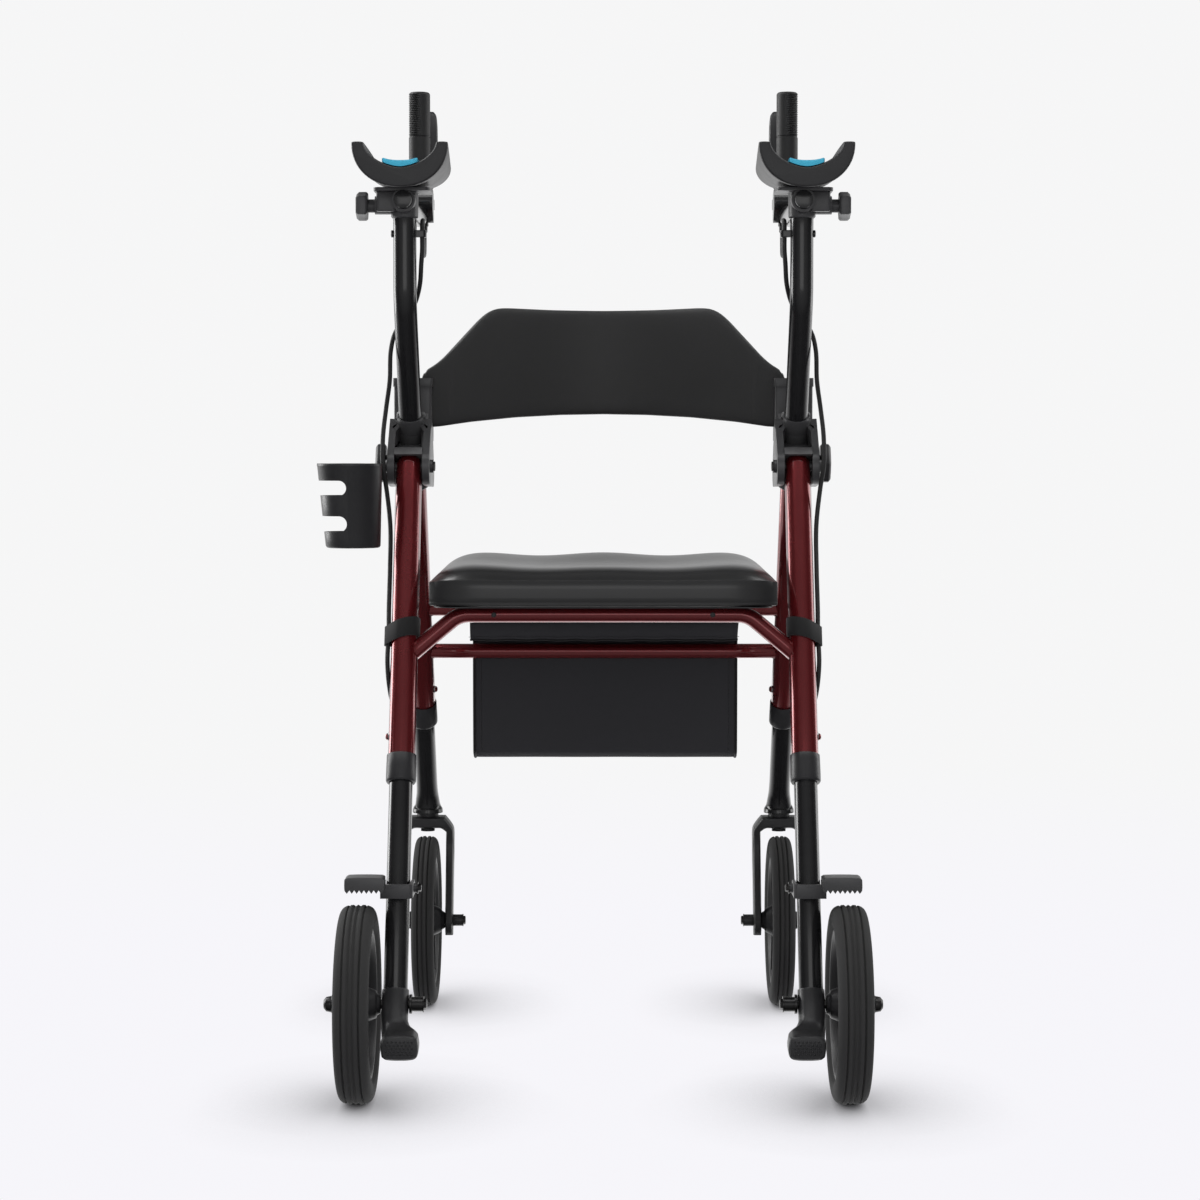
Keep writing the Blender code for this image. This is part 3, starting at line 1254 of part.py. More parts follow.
def cable_route():
    """From the lever's housing through the guide, round the post and down the rear leg to its stop."""
    clip = SLIDE_TUBE + 0.0062
    hug = FRAME_TUBE + CABLE + 0.0008
    grip = Vector((LEG_PLANE, GRIP_Y, HOUSING_BOTTOM))
    guide = Vector((LEG_PLANE, POST_Y, GUIDE_Z))
    bend = Vector((LEG_PLANE, POST_Y, POST_BEND_Z))
    pin = Vector((LEG_PLANE, POST_Y, FOLD_CENTRE.z))

    def on_leg(along, out, ahead):
        return rear_point(along, LEG_PLANE + out) + REAR_AHEAD * ahead

    return [
        grip + Vector((-0.0051, 0.0060, -GAP)),
        grip + Vector((-0.0051, 0.0060, -0.0080)),
        grip + Vector((-0.0055, -0.0020, -0.0237)),
        grip + Vector((-0.0075, -0.0390, -0.0387)),
        grip + Vector((-0.0105, -0.1040, -0.0437)),
        guide + Vector((-0.0145, 0.0874, -0.0027)),
        guide + Vector((-0.0170, 0.0330, 0.0103)),
        guide + Vector((-clip, 0.0130, 0.0153)),
        guide + Vector((-clip, 0.0025, 0.0128)),
        guide + Vector((-clip, 0.0000, 0.0050)),
        guide + Vector((-clip, 0.0000, -0.0050)),
        guide + Vector((-clip, 0.0000, -0.0167)),
        guide + Vector((-0.0175, 0.0015, -0.0317)),
        bend + Vector((-0.0155, 0.0080, 0.0160)),
        bend + Vector((-0.0085, 0.0230, -0.0050)),
        bend + Vector((0.0015, 0.0350, -0.0190)),
        bend + Vector((0.0131, 0.0380, -0.0340)),
        bend + Vector((0.0179, 0.0330, -0.0540)),
        bend + Vector((0.0195, 0.0360, -0.0870)),
        bend + Vector((0.0240, 0.0420, -0.1170)),
        pin + Vector((0.0270, 0.0360, 0.0333)),
        pin + Vector((0.0267, 0.0290, 0.0003)),
        on_leg(FOLD_PIN_ALONG - 0.0280, hug + 0.0060, -0.0120),
        on_leg(FOLD_PIN_ALONG - 0.0700, hug + 0.0010, -0.0010),
        on_leg(BAND_ALONG + 0.0735, hug, 0.0),
        on_leg(BAND_ALONG + 0.0235, hug, 0.0),
        on_leg(BAND_ALONG, FRAME_TUBE + CABLE + GAP, 0.0),
        on_leg(BAND_ALONG - 0.0365, hug, 0.0010),
        on_leg(REAR_TUBE_START + 0.0950, 0.0145, 0.0120),
        on_leg(REAR_TUBE_START + 0.0650, 0.0060, 0.0185),
        on_leg(REAR_TUBE_START + 0.0300, 0.0010, 0.0196),
        on_leg(REAR_TUBE_START - 0.0100, 0.0, 0.0196),
        on_leg(REAR_TUBE_START - 0.0400, 0.0, 0.0172),
        on_leg(CABLE_STOP_ALONG + 0.006 + GAP, 0.0, 0.0165),
    ]


def add_brake_cable(side, sign):
    points = smooth_points(cable_route(), CABLE_POINT_SPACING)
    curve = bpy.data.curves.new(f"brake_cable_{side}", "CURVE")
    curve.dimensions = "3D"
    curve.bevel_depth = CABLE
    curve.bevel_resolution = 1
    curve.render_resolution_u = 0
    curve.use_fill_caps = True
    spline = curve.splines.new("POLY")
    spline.points.add(len(points) - 1)
    for target, point in zip(spline.points, points):
        target.co = (point.x * sign, point.y, point.z, 1.0)
    curve.materials.append(BLACK_RUBBER)
    cable = bpy.data.objects.new(f"brake_cable_{side}", curve)
    cable.parent = MIDLINE
    bpy.context.scene.collection.objects.link(cable)


# Seat, backrest, bag and cup holder

def join_seat_ribs(pan):
    """Stiffening ribs under the seat's base, between the rear tube and the hinge, round a flat boss."""
    rear = REAR_BAR.y + 0.0240
    front = SEAT_FRONT - 0.0480
    middle = (rear + front) / 2
    reach = SEAT_HALF_WIDTH - 0.0250
    low = SEAT_BASE_Z - SEAT_RIB_DEPTH
    high = SEAT_BASE_Z + 0.0010
    half = 0.0012
    ribs = bmesh.new()
    box(ribs, (-reach, middle - half, low), (reach, middle + half, high))
    join(pan, ribs)
    for share in (-1.0, -0.5, 0.5, 1.0):
        rib = bmesh.new()
        x = share * (reach - half)
        box(rib, (x - half, rear, low), (x + half, front, high))
        join(pan, rib)
    boss = bmesh.new()
    outline = rounded_box((-0.040, middle - 0.030), (0.040, middle + 0.030), 0.006, 12)
    prism(boss, outline, X_AXIS, Y_AXIS, Z_AXIS, low - 0.0010, high)
    join(pan, boss)


def add_seat_pan():
    """The seat's base, with two lugs that turn on the front bar."""
    bm = bmesh.new()
    low = (-SEAT_HALF_WIDTH + 0.004, SEAT_REAR + 0.004)
    high = (SEAT_HALF_WIDTH - 0.004, SEAT_FRONT - 0.004)
    outline = rounded_box(low, high, 0.030, 16)
    prism(bm, outline, X_AXIS, Y_AXIS, Z_AXIS, SEAT_BASE_Z, SEAT_BASE_Z + SEAT_BASE_THICKNESS)
    pan = add("seat_pan", bm, BLACK_PLASTIC, SEAT_HINGE)
    join_seat_ribs(pan)
    for _, sign in SIDES:
        lug = bmesh.new()
        outline = hull([
            (SEAT_HINGE.y, SEAT_HINGE.z, CROSS_TUBE + 0.0048),
            (SEAT_FRONT - 0.016, SEAT_BASE_Z + 0.0045, 0.0040),
            (SEAT_FRONT - 0.040, SEAT_BASE_Z + 0.0045, 0.0040),
        ], 14)
        side_prism(lug, outline, SEAT_HINGE_X - 0.012, SEAT_HINGE_X + 0.012)
        join(pan, lug, sign)
    bore = bmesh.new()
    rod(bore, SEAT_HINGE, X_AXIS, -0.19, 0.19, CROSS_TUBE + 0.0006, ROUND_SIDES)
    cut(pan, bore)


def seat_height(u, v):
    """Height of the cushion's top at u across and v from rear to front, both from -1 to 1."""
    edge = (1 - abs(u) ** 7) * (1 - max(-v, 0.0) ** 6 * 0.75) * (1 - max(v, 0.0) ** 8 * 0.6)
    crest = 0.0030 * math.cos(2 * math.pi * abs(u) / 0.78) * (0.4 + 0.6 * max(v, 0.0))
    dish = 0.0060 * math.exp(-((v + 0.15) ** 2) / 0.30) * (1 - u * u)
    return CUSHION_BOTTOM + CUSHION_BAND + (CUSHION_HEIGHT - CUSHION_BAND + crest - dish) * edge


def add_seat_cushion():
    """The moulded saddle: a dished top with a crest in the middle, and sides that draw in below."""
    half_length = (SEAT_FRONT - SEAT_REAR) / 2
    middle = (SEAT_FRONT + SEAT_REAR) / 2
    across_steps = 16
    rings = []
    for i in range(across_steps + 1):
        u = math.sin(math.pi / 2 * (-1 + 2 * i / across_steps))
        x = SEAT_HALF_WIDTH * u
        length = half_length * (1 - 0.16 * abs(u) ** 9)
        ring = []
        for v in (-0.955, 0.955):
            ring.append(Vector((x * 0.985, middle + length * v, CUSHION_BOTTOM)))
        ring.append(Vector((x, middle + length, CUSHION_BOTTOM + 0.010)))
        for step in range(11):
            v = math.sin(math.pi / 2 * (1 - 2 * step / 10))
            ring.append(Vector((x, middle + length * v * 0.997, seat_height(u, v))))
        ring.append(Vector((x, middle - length, CUSHION_BOTTOM + 0.010)))
        rings.append(ring)
    bm = bmesh.new()
    loft(bm, rings)
    add("seat_cushion", bm, SEAT_VINYL, SEAT_HINGE)


def add_backrest():
    """A bowed panel whose ends drop into the brackets' pockets."""
    centre_y = (POCKET_REAR + POCKET_FRONT) / 2
    steps = 16
    rings = []
    for i in range(steps + 1):
        u = math.sin(math.pi / 2 * (-1 + 2 * i / steps))
        x = BACK_HALF_WIDTH * u
        bow = BACK_BOW * (1 - u * u) ** 2
        slope = BACK_BOW * -4 * u * (1 - u * u) / BACK_HALF_WIDTH
        normal = Vector((-slope, 1, 0)).normalized()
        fall = max(abs(x) - BACK_TOP_HALF, 0) / (BACK_HALF_WIDTH - BACK_TOP_HALF)
        top = POCKET_TOP + BACK_RISE * (1 - fall)
        bottom = BACK_END_BOTTOM + BACK_ARCH * (1 - min(abs(u) / 0.94, 1.0) ** 2)
        centre = Vector((x, centre_y + bow, (top + bottom) / 2))
        half_height = (top - bottom) / 2
        rings.append(oval(centre, normal, Z_AXIS, BACK_THICKNESS / 2, half_height, 8, 6.0, math.pi / 8))
    bm = bmesh.new()
    loft(bm, rings)
    add("backrest", bm, BLACK_FOAM, Vector((0, centre_y, BACK_END_BOTTOM)))


def add_bag():
    """The bag hangs from the seat's front bar and lies against the lower bar."""
    near = LOWER_BAR.y + CROSS_TUBE + 0.0030
    far = near + BAG_LENGTH
    bottom = BAG_BOTTOM
    top = BAG_TOP
    outline = [
        (SEAT_HINGE.y + 0.0135, top),
        (SEAT_HINGE.y + 0.0135, top - 0.0080),
        (near, LOWER_BAR_Z + 0.0110),
        (near + 0.0010, bottom + 0.0200),
        (near + 0.0080, bottom + 0.0040),
        (near + 0.0220, bottom),
        (far - 0.0250, bottom),
        (far - 0.0070, bottom + 0.0060),
        (far, bottom + 0.0220),
        (far, top - 0.0320),
        (far - 0.0080, top - 0.0100),
        (far - 0.0280, top),
    ]
    centre_y = (near + far) / 2
    centre_z = (bottom + top) / 2
    half = BAG_HALF_WIDTH
    rings = []
    for x, shrink in ((-half, 0.95), (-half + 0.005, 1.0), (half - 0.005, 1.0), (half, 0.95)):
        ring = []
        for y, z in outline:
            ring.append(Vector((x, centre_y + (y - centre_y) * shrink, centre_z + (z - centre_z) * shrink)))
        rings.append(ring)
    bm = bmesh.new()
    loft(bm, rings)
    bag = add("bag", bm, BAG_CLOTH, Vector((0, centre_y, bottom)))
    for _, sign in SIDES:
        loop = bmesh.new()
        outline = hull([
            (SEAT_HINGE.y, SEAT_HINGE.z, CROSS_TUBE + 0.0022),
            (SEAT_HINGE.y + 0.0190, top - 0.0060, 0.0020),
        ], 12)
        side_prism(loop, outline, BAG_LOOP_X - 0.012, BAG_LOOP_X + 0.012)
        join(bag, loop, sign)
    bore = bmesh.new()
    rod(bore, SEAT_HINGE, X_AXIS, -0.19, 0.19, CROSS_TUBE + GAP + 0.0002, ROUND_SIDES)
    cut(bag, bore)


def add_cup_holder():
    """A tapered cup with two finger slots, on an arm from the left bracket."""
    sign = -1
    axis_base = Vector((CUP_X, CUP_Y, 0))
    bm = bmesh.new()
    profile = [
        (CUP_BOTTOM_Z, 0),
        (CUP_BOTTOM_Z, CUP_BASE - 0.002),
        (CUP_BOTTOM_Z + 0.002, CUP_BASE),
        (CUP_TOP_Z, CUP_RIM),
        (CUP_TOP_Z, CUP_RIM - CUP_WALL),
        (CUP_BOTTOM_Z + 0.003, CUP_BASE - CUP_WALL),
        (CUP_BOTTOM_Z + 0.003, 0),
    ]
    lathe(bm, axis_base, Z_AXIS, profile, 16)
    cup = add("cup_holder", bm, BLACK_PLASTIC, Vector((CUP_X, CUP_Y, CUP_BOTTOM_Z)), sign)
    for share, half in ((0.71, 0.0082), (0.286, 0.0087)):
        z = CUP_BOTTOM_Z + CUP_HEIGHT * share
        slot = bmesh.new()
        outline = hull([(CUP_X + 0.008, z, half), (CUP_X + 0.060, z, half)], 12)
        prism(slot, outline, X_AXIS, Z_AXIS, Y_AXIS, CUP_Y - 0.05, CUP_Y + 0.05)
        cut(cup, slot, sign)
    angle = math.radians(55)
    wall = CUP_RIM - CUP_WALL / 2 - 0.0008
    start = (CUP_X - wall * math.cos(angle), CUP_Y + wall * math.sin(angle))
    lug_face = LEG_PLANE + LUG_OUTER + GAP
    thick = 0.0035
    x = CUP_ARM_X
    bend = FOLD_CENTRE.y - 0.0213
    boss_y = FOLD_CENTRE.y + 0.0180
    outline = [
        start,
        (start[0] + 0.0030, start[1] + 0.0030),
        (x + thick, bend + 0.0020),
        (x + thick, boss_y + 0.005),
        (x, boss_y + 0.005),
        (x, bend),
        (start[0] - 0.0010, start[1] + 0.0005),
    ]
    arm = bmesh.new()
    prism(arm, outline, X_AXIS, Y_AXIS, Z_AXIS, CUP_TOP_Z - 0.0281, CUP_TOP_Z - 0.0051)
    join(cup, arm, sign)
    boss = bmesh.new()
    base = Vector((0, boss_y, CUP_TOP_Z - 0.0151))
    rod(boss, base, X_AXIS, lug_face, x + 0.0010, 0.0050, PIN_SIDES)
    join(cup, boss, sign)


clear_scene()
RED_PAINT = paint("wine_red_paint", (0.150, 0.010, 0.016), 0.28, 0.35)
BLACK_PAINT = paint("black_paint", (0.020, 0.020, 0.022), 0.32, 0.1)
BLACK_PLASTIC = paint("black_plastic", (0.035, 0.035, 0.038), 0.45, 0.0)
HUB_PLASTIC = paint("hub_plastic", (0.045, 0.045, 0.050), 0.50, 0.0)
BLACK_RUBBER = paint("black_rubber", (0.022, 0.022, 0.022), 0.70, 0.0)
TYRE_RUBBER = paint("tyre_rubber", (0.030, 0.030, 0.030), 0.80, 0.0)
BLACK_PAD = paint("black_pad", (0.030, 0.030, 0.032), 0.55, 0.0)
BLACK_FOAM = paint("black_foam", (0.035, 0.035, 0.036), 0.75, 0.0)
BLUE_GEL = paint("blue_gel", (0.050, 0.420, 0.620), 0.40, 0.0)
SEAT_VINYL = paint("seat_vinyl", (0.028, 0.028, 0.030), 0.25, 0.0)
BAG_CLOTH = paint("bag_cloth", (0.032, 0.032, 0.034), 0.90, 0.0)
WEBBING = paint("webbing", (0.015, 0.015, 0.015), 0.85, 0.0)
STEEL = paint("steel", (0.600, 0.600, 0.600), 0.35, 1.0)

MIDLINE = bpy.data.objects.new("midline", None)
MIDLINE.location = (OVERHANG_SHIFT, 0, 0)
bpy.context.scene.collection.objects.link(MIDLINE)

for side_name, side_sign in SIDES:
    add_rear_leg(side_name, side_sign)
    add_collars(side_name, side_sign)
    add_rear_lower_leg(side_name, side_sign)
    add_rear_foot(side_name, side_sign)
    add_rear_axle(side_name, side_sign)
    add_brake_shoe(side_name, side_sign)
    add_leg_band(side_name, side_sign)
    add_wheels(side_name, side_sign)
    add_front_leg(side_name, side_sign)
    add_front_lower_leg(side_name, side_sign)
    add_caster_fork(side_name, side_sign)
    add_bracket(side_name, side_sign)
    add_height_knob(side_name, side_sign)
    add_post(side_name, side_sign)
    add_trough_clamp(side_name, side_sign)
    add_reach_knob(side_name, side_sign)
    add_trough_shell(side_name, side_sign)
    add_trough_pad(side_name, side_sign)
    add_reach_bar(side_name, side_sign)
    add_grip(side_name, side_sign)
    add_brake_lever(side_name, side_sign)
    add_brake_cable(side_name, side_sign)

add_front_bar("front_seat_bar", SEAT_HINGE)
add_front_bar("front_lower_bar", LOWER_BAR)
add_rear_seat_tube()
add_seat_pan()
add_seat_cushion()
add_backrest()
add_bag()
add_cup_holder()
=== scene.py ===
"""Dresses the frame of an upright rollator with its finishes, soft goods, small parts, stage and camera.

Metres, +Z up, +Y forward. Pieces of one side are drawn for the right side, X over 0 from the midline.
"""

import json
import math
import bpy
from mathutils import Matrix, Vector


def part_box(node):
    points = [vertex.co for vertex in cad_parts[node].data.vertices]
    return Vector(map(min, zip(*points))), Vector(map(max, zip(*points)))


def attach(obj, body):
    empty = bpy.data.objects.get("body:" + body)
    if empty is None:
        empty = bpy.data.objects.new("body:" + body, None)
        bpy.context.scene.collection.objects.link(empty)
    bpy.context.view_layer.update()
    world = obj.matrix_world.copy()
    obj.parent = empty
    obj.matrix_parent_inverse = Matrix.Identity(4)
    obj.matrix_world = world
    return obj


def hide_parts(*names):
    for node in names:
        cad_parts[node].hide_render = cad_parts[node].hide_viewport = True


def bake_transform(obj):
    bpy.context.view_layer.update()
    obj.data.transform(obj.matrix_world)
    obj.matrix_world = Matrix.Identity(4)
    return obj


bl_info = {
    "name": "Upright Rollator Looks",
    "version": (1, 0, 0),
    "blender": (4, 5, 0),
    "location": "View3D > Sidebar > Rollator",
    "description": "Finishes, soft goods and small parts for an upright rollator",
    "category": "Object",
}

import bmesh
import bpy
from bpy.props import FloatProperty, FloatVectorProperty, IntProperty, PointerProperty
from mathutils import Matrix, Vector

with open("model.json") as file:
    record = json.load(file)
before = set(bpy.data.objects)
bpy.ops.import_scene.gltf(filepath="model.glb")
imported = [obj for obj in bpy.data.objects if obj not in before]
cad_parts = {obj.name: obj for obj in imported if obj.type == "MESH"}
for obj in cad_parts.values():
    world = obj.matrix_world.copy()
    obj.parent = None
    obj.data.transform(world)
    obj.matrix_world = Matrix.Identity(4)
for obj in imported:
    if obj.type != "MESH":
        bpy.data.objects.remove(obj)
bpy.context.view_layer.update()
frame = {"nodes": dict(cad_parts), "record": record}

X_AXIS = Vector((1.0, 0.0, 0.0))
Y_AXIS = Vector((0.0, 1.0, 0.0))
Z_AXIS = Vector((0.0, 0.0, 1.0))
SIDES = (("L", -1), ("R", 1))

BODY_OF = {}
for body_name, members in frame["record"]["behaviour"]["bodies"].items():
    for member in members:
        BODY_OF[member] = body_name
SLOT_OF = {entry["node"]: entry["material_slot"] for entry in frame["record"]["subparts"]}


def middle_of(node):
    low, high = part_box(node)
    return (low + high) / 2


# Stance, read from the frame
MIDLINE = middle_of("seat_cushion").x
REAR_WHEEL = middle_of("rear_tyre_R")
FRONT_WHEEL = middle_of("caster_tyre_R")
WHEEL_RADIUS = REAR_WHEEL.z
LEG_PLANE = FRONT_WHEEL.x - MIDLINE
REAR_TRACK = REAR_WHEEL.x - MIDLINE
FRONT_LEAN = math.radians(32.4)
FRONT_UP = Vector((0.0, -math.sin(FRONT_LEAN), math.cos(FRONT_LEAN)))
REAR_AXLE = Vector((LEG_PLANE, REAR_WHEEL.y, WHEEL_RADIUS))
FOLD_AT = next(
    joint["pos_m"] for joint in frame["record"]["behaviour"]["joints"] if joint["name"] == "frame_fold")
FOLD_PIN = Vector((LEG_PLANE, FOLD_AT[1], FOLD_AT[2]))
FOLD_ALONG = (FOLD_PIN - REAR_AXLE).length
REAR_UP = (FOLD_PIN - REAR_AXLE).normalized()
REAR_AHEAD = REAR_UP.cross(X_AXIS)
CASTER_HEAD = Vector((LEG_PLANE, FRONT_WHEEL.y + 0.026, 0.242))
BRAKE_ALONG = WHEEL_RADIUS + 0.0215
BAND_ALONG = 0.4065
POST_Y = middle_of("trough_clamp_R").y
POST_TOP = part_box("post_R")[1].z
POST_BEND_Z = 0.832
GRIP_Y = middle_of("grip_R").y
SEAT_BAR = middle_of("front_seat_bar")
LOWER_BAR = middle_of("front_lower_bar")

# Tubes
FRAME_TUBE = 0.0145
SLIDE_TUBE = 0.0125
CROSS_TUBE = 0.00875
CABLE = 0.0025


def rear_point(along, out=0.0, ahead=0.0):
    """A point this far up the right rear leg from its axle, set off its centre line."""
    return REAR_AXLE + REAR_UP * along + X_AXIS * out + REAR_AHEAD * ahead


def front_point(along, out=0.0):
    """A point this far up the right front leg from the caster's head."""
    return CASTER_HEAD + FRONT_UP * along + X_AXIS * out


# Settings

class RollatorStageSettings(bpy.types.PropertyGroup):
    eye_height: FloatProperty(name="Eye Height", description="Height of the camera", default=0.669, unit="LENGTH")
    eye_distance: FloatProperty(
        name="Eye Distance", description="How far the camera stands behind the middle", default=3.2065, unit="LENGTH")
    tilt: FloatProperty(
        name="Tilt", description="How far the camera looks down", default=math.radians(2.961), subtype="ANGLE")
    turn: FloatProperty(
        name="Turn", description="How far the camera looks to the left", default=math.radians(0.0654), subtype="ANGLE")
    lens: FloatProperty(name="Lens", description="Focal length in millimetres", default=86.69, min=10)
    floor_colour: FloatVectorProperty(
        name="Floor", description="Colour of the floor", default=(0.925, 0.918, 0.955), subtype="COLOR")
    backdrop_colour: FloatVectorProperty(
        name="Backdrop", description="Colour behind the object", default=(0.922, 0.922, 0.925), subtype="COLOR")
    shade_reach: FloatProperty(
        name="Shade Reach", description="How far a wheel shades the floor", default=0.17, unit="LENGTH")
    daylight: FloatProperty(name="Daylight", description="Strength of the even light", default=0.60, min=0)
    room_gloss: FloatProperty(
        name="Room Gloss", description="Brightness of the dark side of the room in reflections", default=0.05, min=0)
    front_gloss: FloatProperty(
        name="Front Gloss", description="Brightness of the room's front in reflections", default=0.26, min=0)
    front_lamp: FloatProperty(name="Front Lamp", description="Brightness of the front lamp", default=0.9, min=0)
    left_lamp: FloatProperty(name="Left Lamp", description="Brightness of the left lamp", default=6.0, min=0)
    right_lamp: FloatProperty(name="Right Lamp", description="Brightness of the right lamp", default=2.2, min=0)
    top_lamp: FloatProperty(name="Top Lamp", description="Brightness of the top lamp", default=2.2, min=0)


class RollatorFinishSettings(bpy.types.PropertyGroup):
    enamel: FloatVectorProperty(
        name="Enamel", description="Colour of the painted frame", default=(0.180, 0.0105, 0.0140), subtype="COLOR")
    powder: FloatVectorProperty(
        name="Powder Coat", description="Colour of the sliding tubes", default=(0.0085, 0.0085, 0.0095),
        subtype="COLOR")
    moulded: FloatVectorProperty(
        name="Moulded Parts", description="Colour of the plastic parts", default=(0.021, 0.021, 0.023), subtype="COLOR")
    rubber: FloatVectorProperty(
        name="Rubber", description="Colour of tyres and grips", default=(0.013, 0.013, 0.0135), subtype="COLOR")
    gel: FloatVectorProperty(
        name="Gel", description="Colour of the forearm pads", default=(0.045, 0.42, 0.68), subtype="COLOR")
    cloth: FloatVectorProperty(
        name="Cloth", description="Colour of the bag", default=(0.021, 0.0205, 0.0225), subtype="COLOR")
    skin: FloatVectorProperty(
        name="Seat Skin", description="Colour of the seat", default=(0.017, 0.017, 0.0175), subtype="COLOR")


class RollatorShapeSettings(bpy.types.PropertyGroup):
    arc_tolerance: FloatProperty(
        name="Arc Tolerance", description="How far a facet may lie from its curve", default=0.00005, unit="LENGTH")
    edge_round: FloatProperty(
        name="Edge Round", description="Radius of the eased edges", default=0.0005, unit="LENGTH")
    tyre_grooves: IntProperty(name="Tyre Grooves", description="Grooves round a rear tyre", default=4, min=1)
    groove_depth: FloatProperty(name="Groove Depth", description="Depth of a groove", default=0.0021, unit="LENGTH")
    spokes: IntProperty(name="Spokes", description="Spokes of a wheel", default=5, min=3)
    grip_ribs: IntProperty(name="Grip Ribs", description="Ribs of a grip", default=22, min=1)
    stitch: FloatProperty(name="Stitch", description="Length of a stitch and its gap", default=0.0042, unit="LENGTH")


# Mesh helpers

def across(axis):
    """Two unit vectors square to an axis and to each other."""
    if abs(axis.x) > 0.9:
        return Y_AXIS.copy(), Z_AXIS.copy()
    first = (X_AXIS - axis * X_AXIS.dot(axis)).normalized()
    return first, axis.cross(first)


def oval(centre, u, v, half_u, half_v, count, power=2.0, phase=0.0):
    """Points of an ellipse. A power over 2 squares it up into a rounded rectangle."""
    points = []
    for index in range(count):
        angle = phase + 2 * math.pi * index / count
        c = math.cos(angle)
        s = math.sin(angle)
        reach_u = half_u * math.copysign(abs(c) ** (2 / power), c)
        reach_v = half_v * math.copysign(abs(s) ** (2 / power), s)
        points.append(centre + u * reach_u + v * reach_v)
    return points


def loft(bm, rings, looped=False, closed=True):
    """Skins a row of rings and caps its ends. Rings are closed unless they are strips of an open sheet."""
    rows = [[bm.verts.new(point) for point in ring] for ring in rings]
    pairs = list(zip(rows, rows[1:]))
    if looped:
        pairs.append((rows[-1], rows[0]))
    for low, high in pairs:
        count = max(len(low), len(high))
        for index in range(count if closed else count - 1):
            after = (index + 1) % count
            corners = [low[index % len(low)], low[after % len(low)]]
            corners += [high[after % len(high)], high[index % len(high)]]
            corners = list(dict.fromkeys(corners))
            if len(corners) > 2:
                bm.faces.new(corners)
    if closed and not looped:
        for end in (rows[0], rows[-1]):
            if len(end) > 2:
                bm.faces.new(end)


def lathe(bm, base, axis, profile, sides=48, looped=False, phase=0.0):
    """Turns a profile of (distance along the axis, radius) pairs. A radius of 0 is a pole."""
    u, v = across(axis)
    rings = []
    for along, radius in profile:
        centre = base + axis * along
        rings.append(oval(centre, u, v, radius, radius, sides, phase=phase) if radius else [centre])
    loft(bm, rings, looped)


def tube_rings(path, radius, sides):
    """Round sections along a path, kept from twisting."""
    rings = []
    u = None
    for index, point in enumerate(path):
        ahead = path[min(index + 1, len(path) - 1)]
        behind = path[max(index - 1, 0)]
        tangent = (ahead - behind).normalized()
        if u is None:
            u, v = across(tangent)
        u = (u - tangent * u.dot(tangent)).normalized()
        v = tangent.cross(u)
        rings.append(oval(point, u, v, radius, radius, sides))
    return rings


def in_scene(name, data):
    """A new object, linked to the scene."""
    item = bpy.data.objects.new(name, data)
    bpy.context.scene.collection.objects.link(item)
    return item


def plain_mesh(item):
    """The mesh of an object with its modifiers applied. The object goes."""
    bpy.context.view_layer.update()
    graph = bpy.context.evaluated_depsgraph_get()
    made = bpy.data.meshes.new_from_object(item.evaluated_get(graph))
    bpy.data.objects.remove(item)
    return made


def smooth_mesh(name, bm):
    """Ends a bmesh as a mesh that is shaded smooth."""
    mesh = bpy.data.meshes.new(name)
    bm.to_mesh(mesh)
    bm.free()
    mesh.shade_smooth()
    return mesh


def settled_mesh(name, bm, sign=1, crease=35):
    """Moves a shape drawn from the midline, for the right side, to its place and smooths it."""
    for vert in bm.verts:
        vert.co.x = MIDLINE + sign * vert.co.x
    bmesh.ops.remove_doubles(bm, verts=bm.verts, dist=1e-6)
    bmesh.ops.recalc_face_normals(bm, faces=bm.faces)
    mesh = smooth_mesh(name, bm)
    mesh.set_sharp_from_angle(angle=math.radians(crease))
    return mesh


def lofted_mesh(name, rings, sign=1, crease=35):
    """A mesh skinned over rings."""
    bm = bmesh.new()
    loft(bm, rings)
    return settled_mesh(name, bm, sign, crease)


def turned_mesh(name, base, axis, profile, sides, sign, crease):
    """A mesh turned from a profile."""
    bm = bmesh.new()
    lathe(bm, base, axis, profile, sides)
    return settled_mesh(name, bm, sign, crease)


def eased_mesh(name, mesh, width, segments=2):
    """A mesh with its sharp edges rounded."""
    item = in_scene(name, mesh)
    bevel = item.modifiers.new("ease", "BEVEL")
    bevel.width = width
    bevel.segments = segments
    bevel.limit_method = "ANGLE"
    bevel.angle_limit = math.radians(35)
    bevel.use_clamp_overlap = True
    made = plain_mesh(item)
    made.set_sharp_from_angle(angle=math.radians(50))
    return made


def show(name, mesh, finish, body, replaces=()):
    """Puts a finished mesh in the scene, on its body and in its material slot."""
    mesh.materials.clear()
    mesh.materials.append(bpy.data.materials[finish])
    item = in_scene(name, mesh)
    if body:
        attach(item, body)
    if replaces:
        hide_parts(*replaces)
    return item


def show_form(node, mesh, finish):
    """Puts a finished mesh in the place of a node of the frame."""
    return show(f"{node}_form", mesh, finish, BODY_OF[node], [node])


# Refining the frame's own solids

# Most bow of an edge as a share of its length, the cosine over which corners count as flat, the most rounds of
# splitting, and the angles in degrees over which an edge is a crease and under which two facets are one face
MOST_BOW = 0.2
FLAT_DOT = 0.99995
MOST_ROUNDS = 3
CREASE_ANGLE = 38
JOIN_ANGLE = 0.6


def newell(points, face):
    """A face's normal, as long as the face's area."""
    total = Vector()
    for a, b in zip(face, face[1:] + face[:1]):
        total += points[a].cross(points[b])
    return total / 2


def faces_by_edge(faces):
    table = {}
    for index, face in enumerate(faces):
        for a, b in zip(face, face[1:] + face[:1]):
            table.setdefault(frozenset((a, b)), []).append(index)
    return table


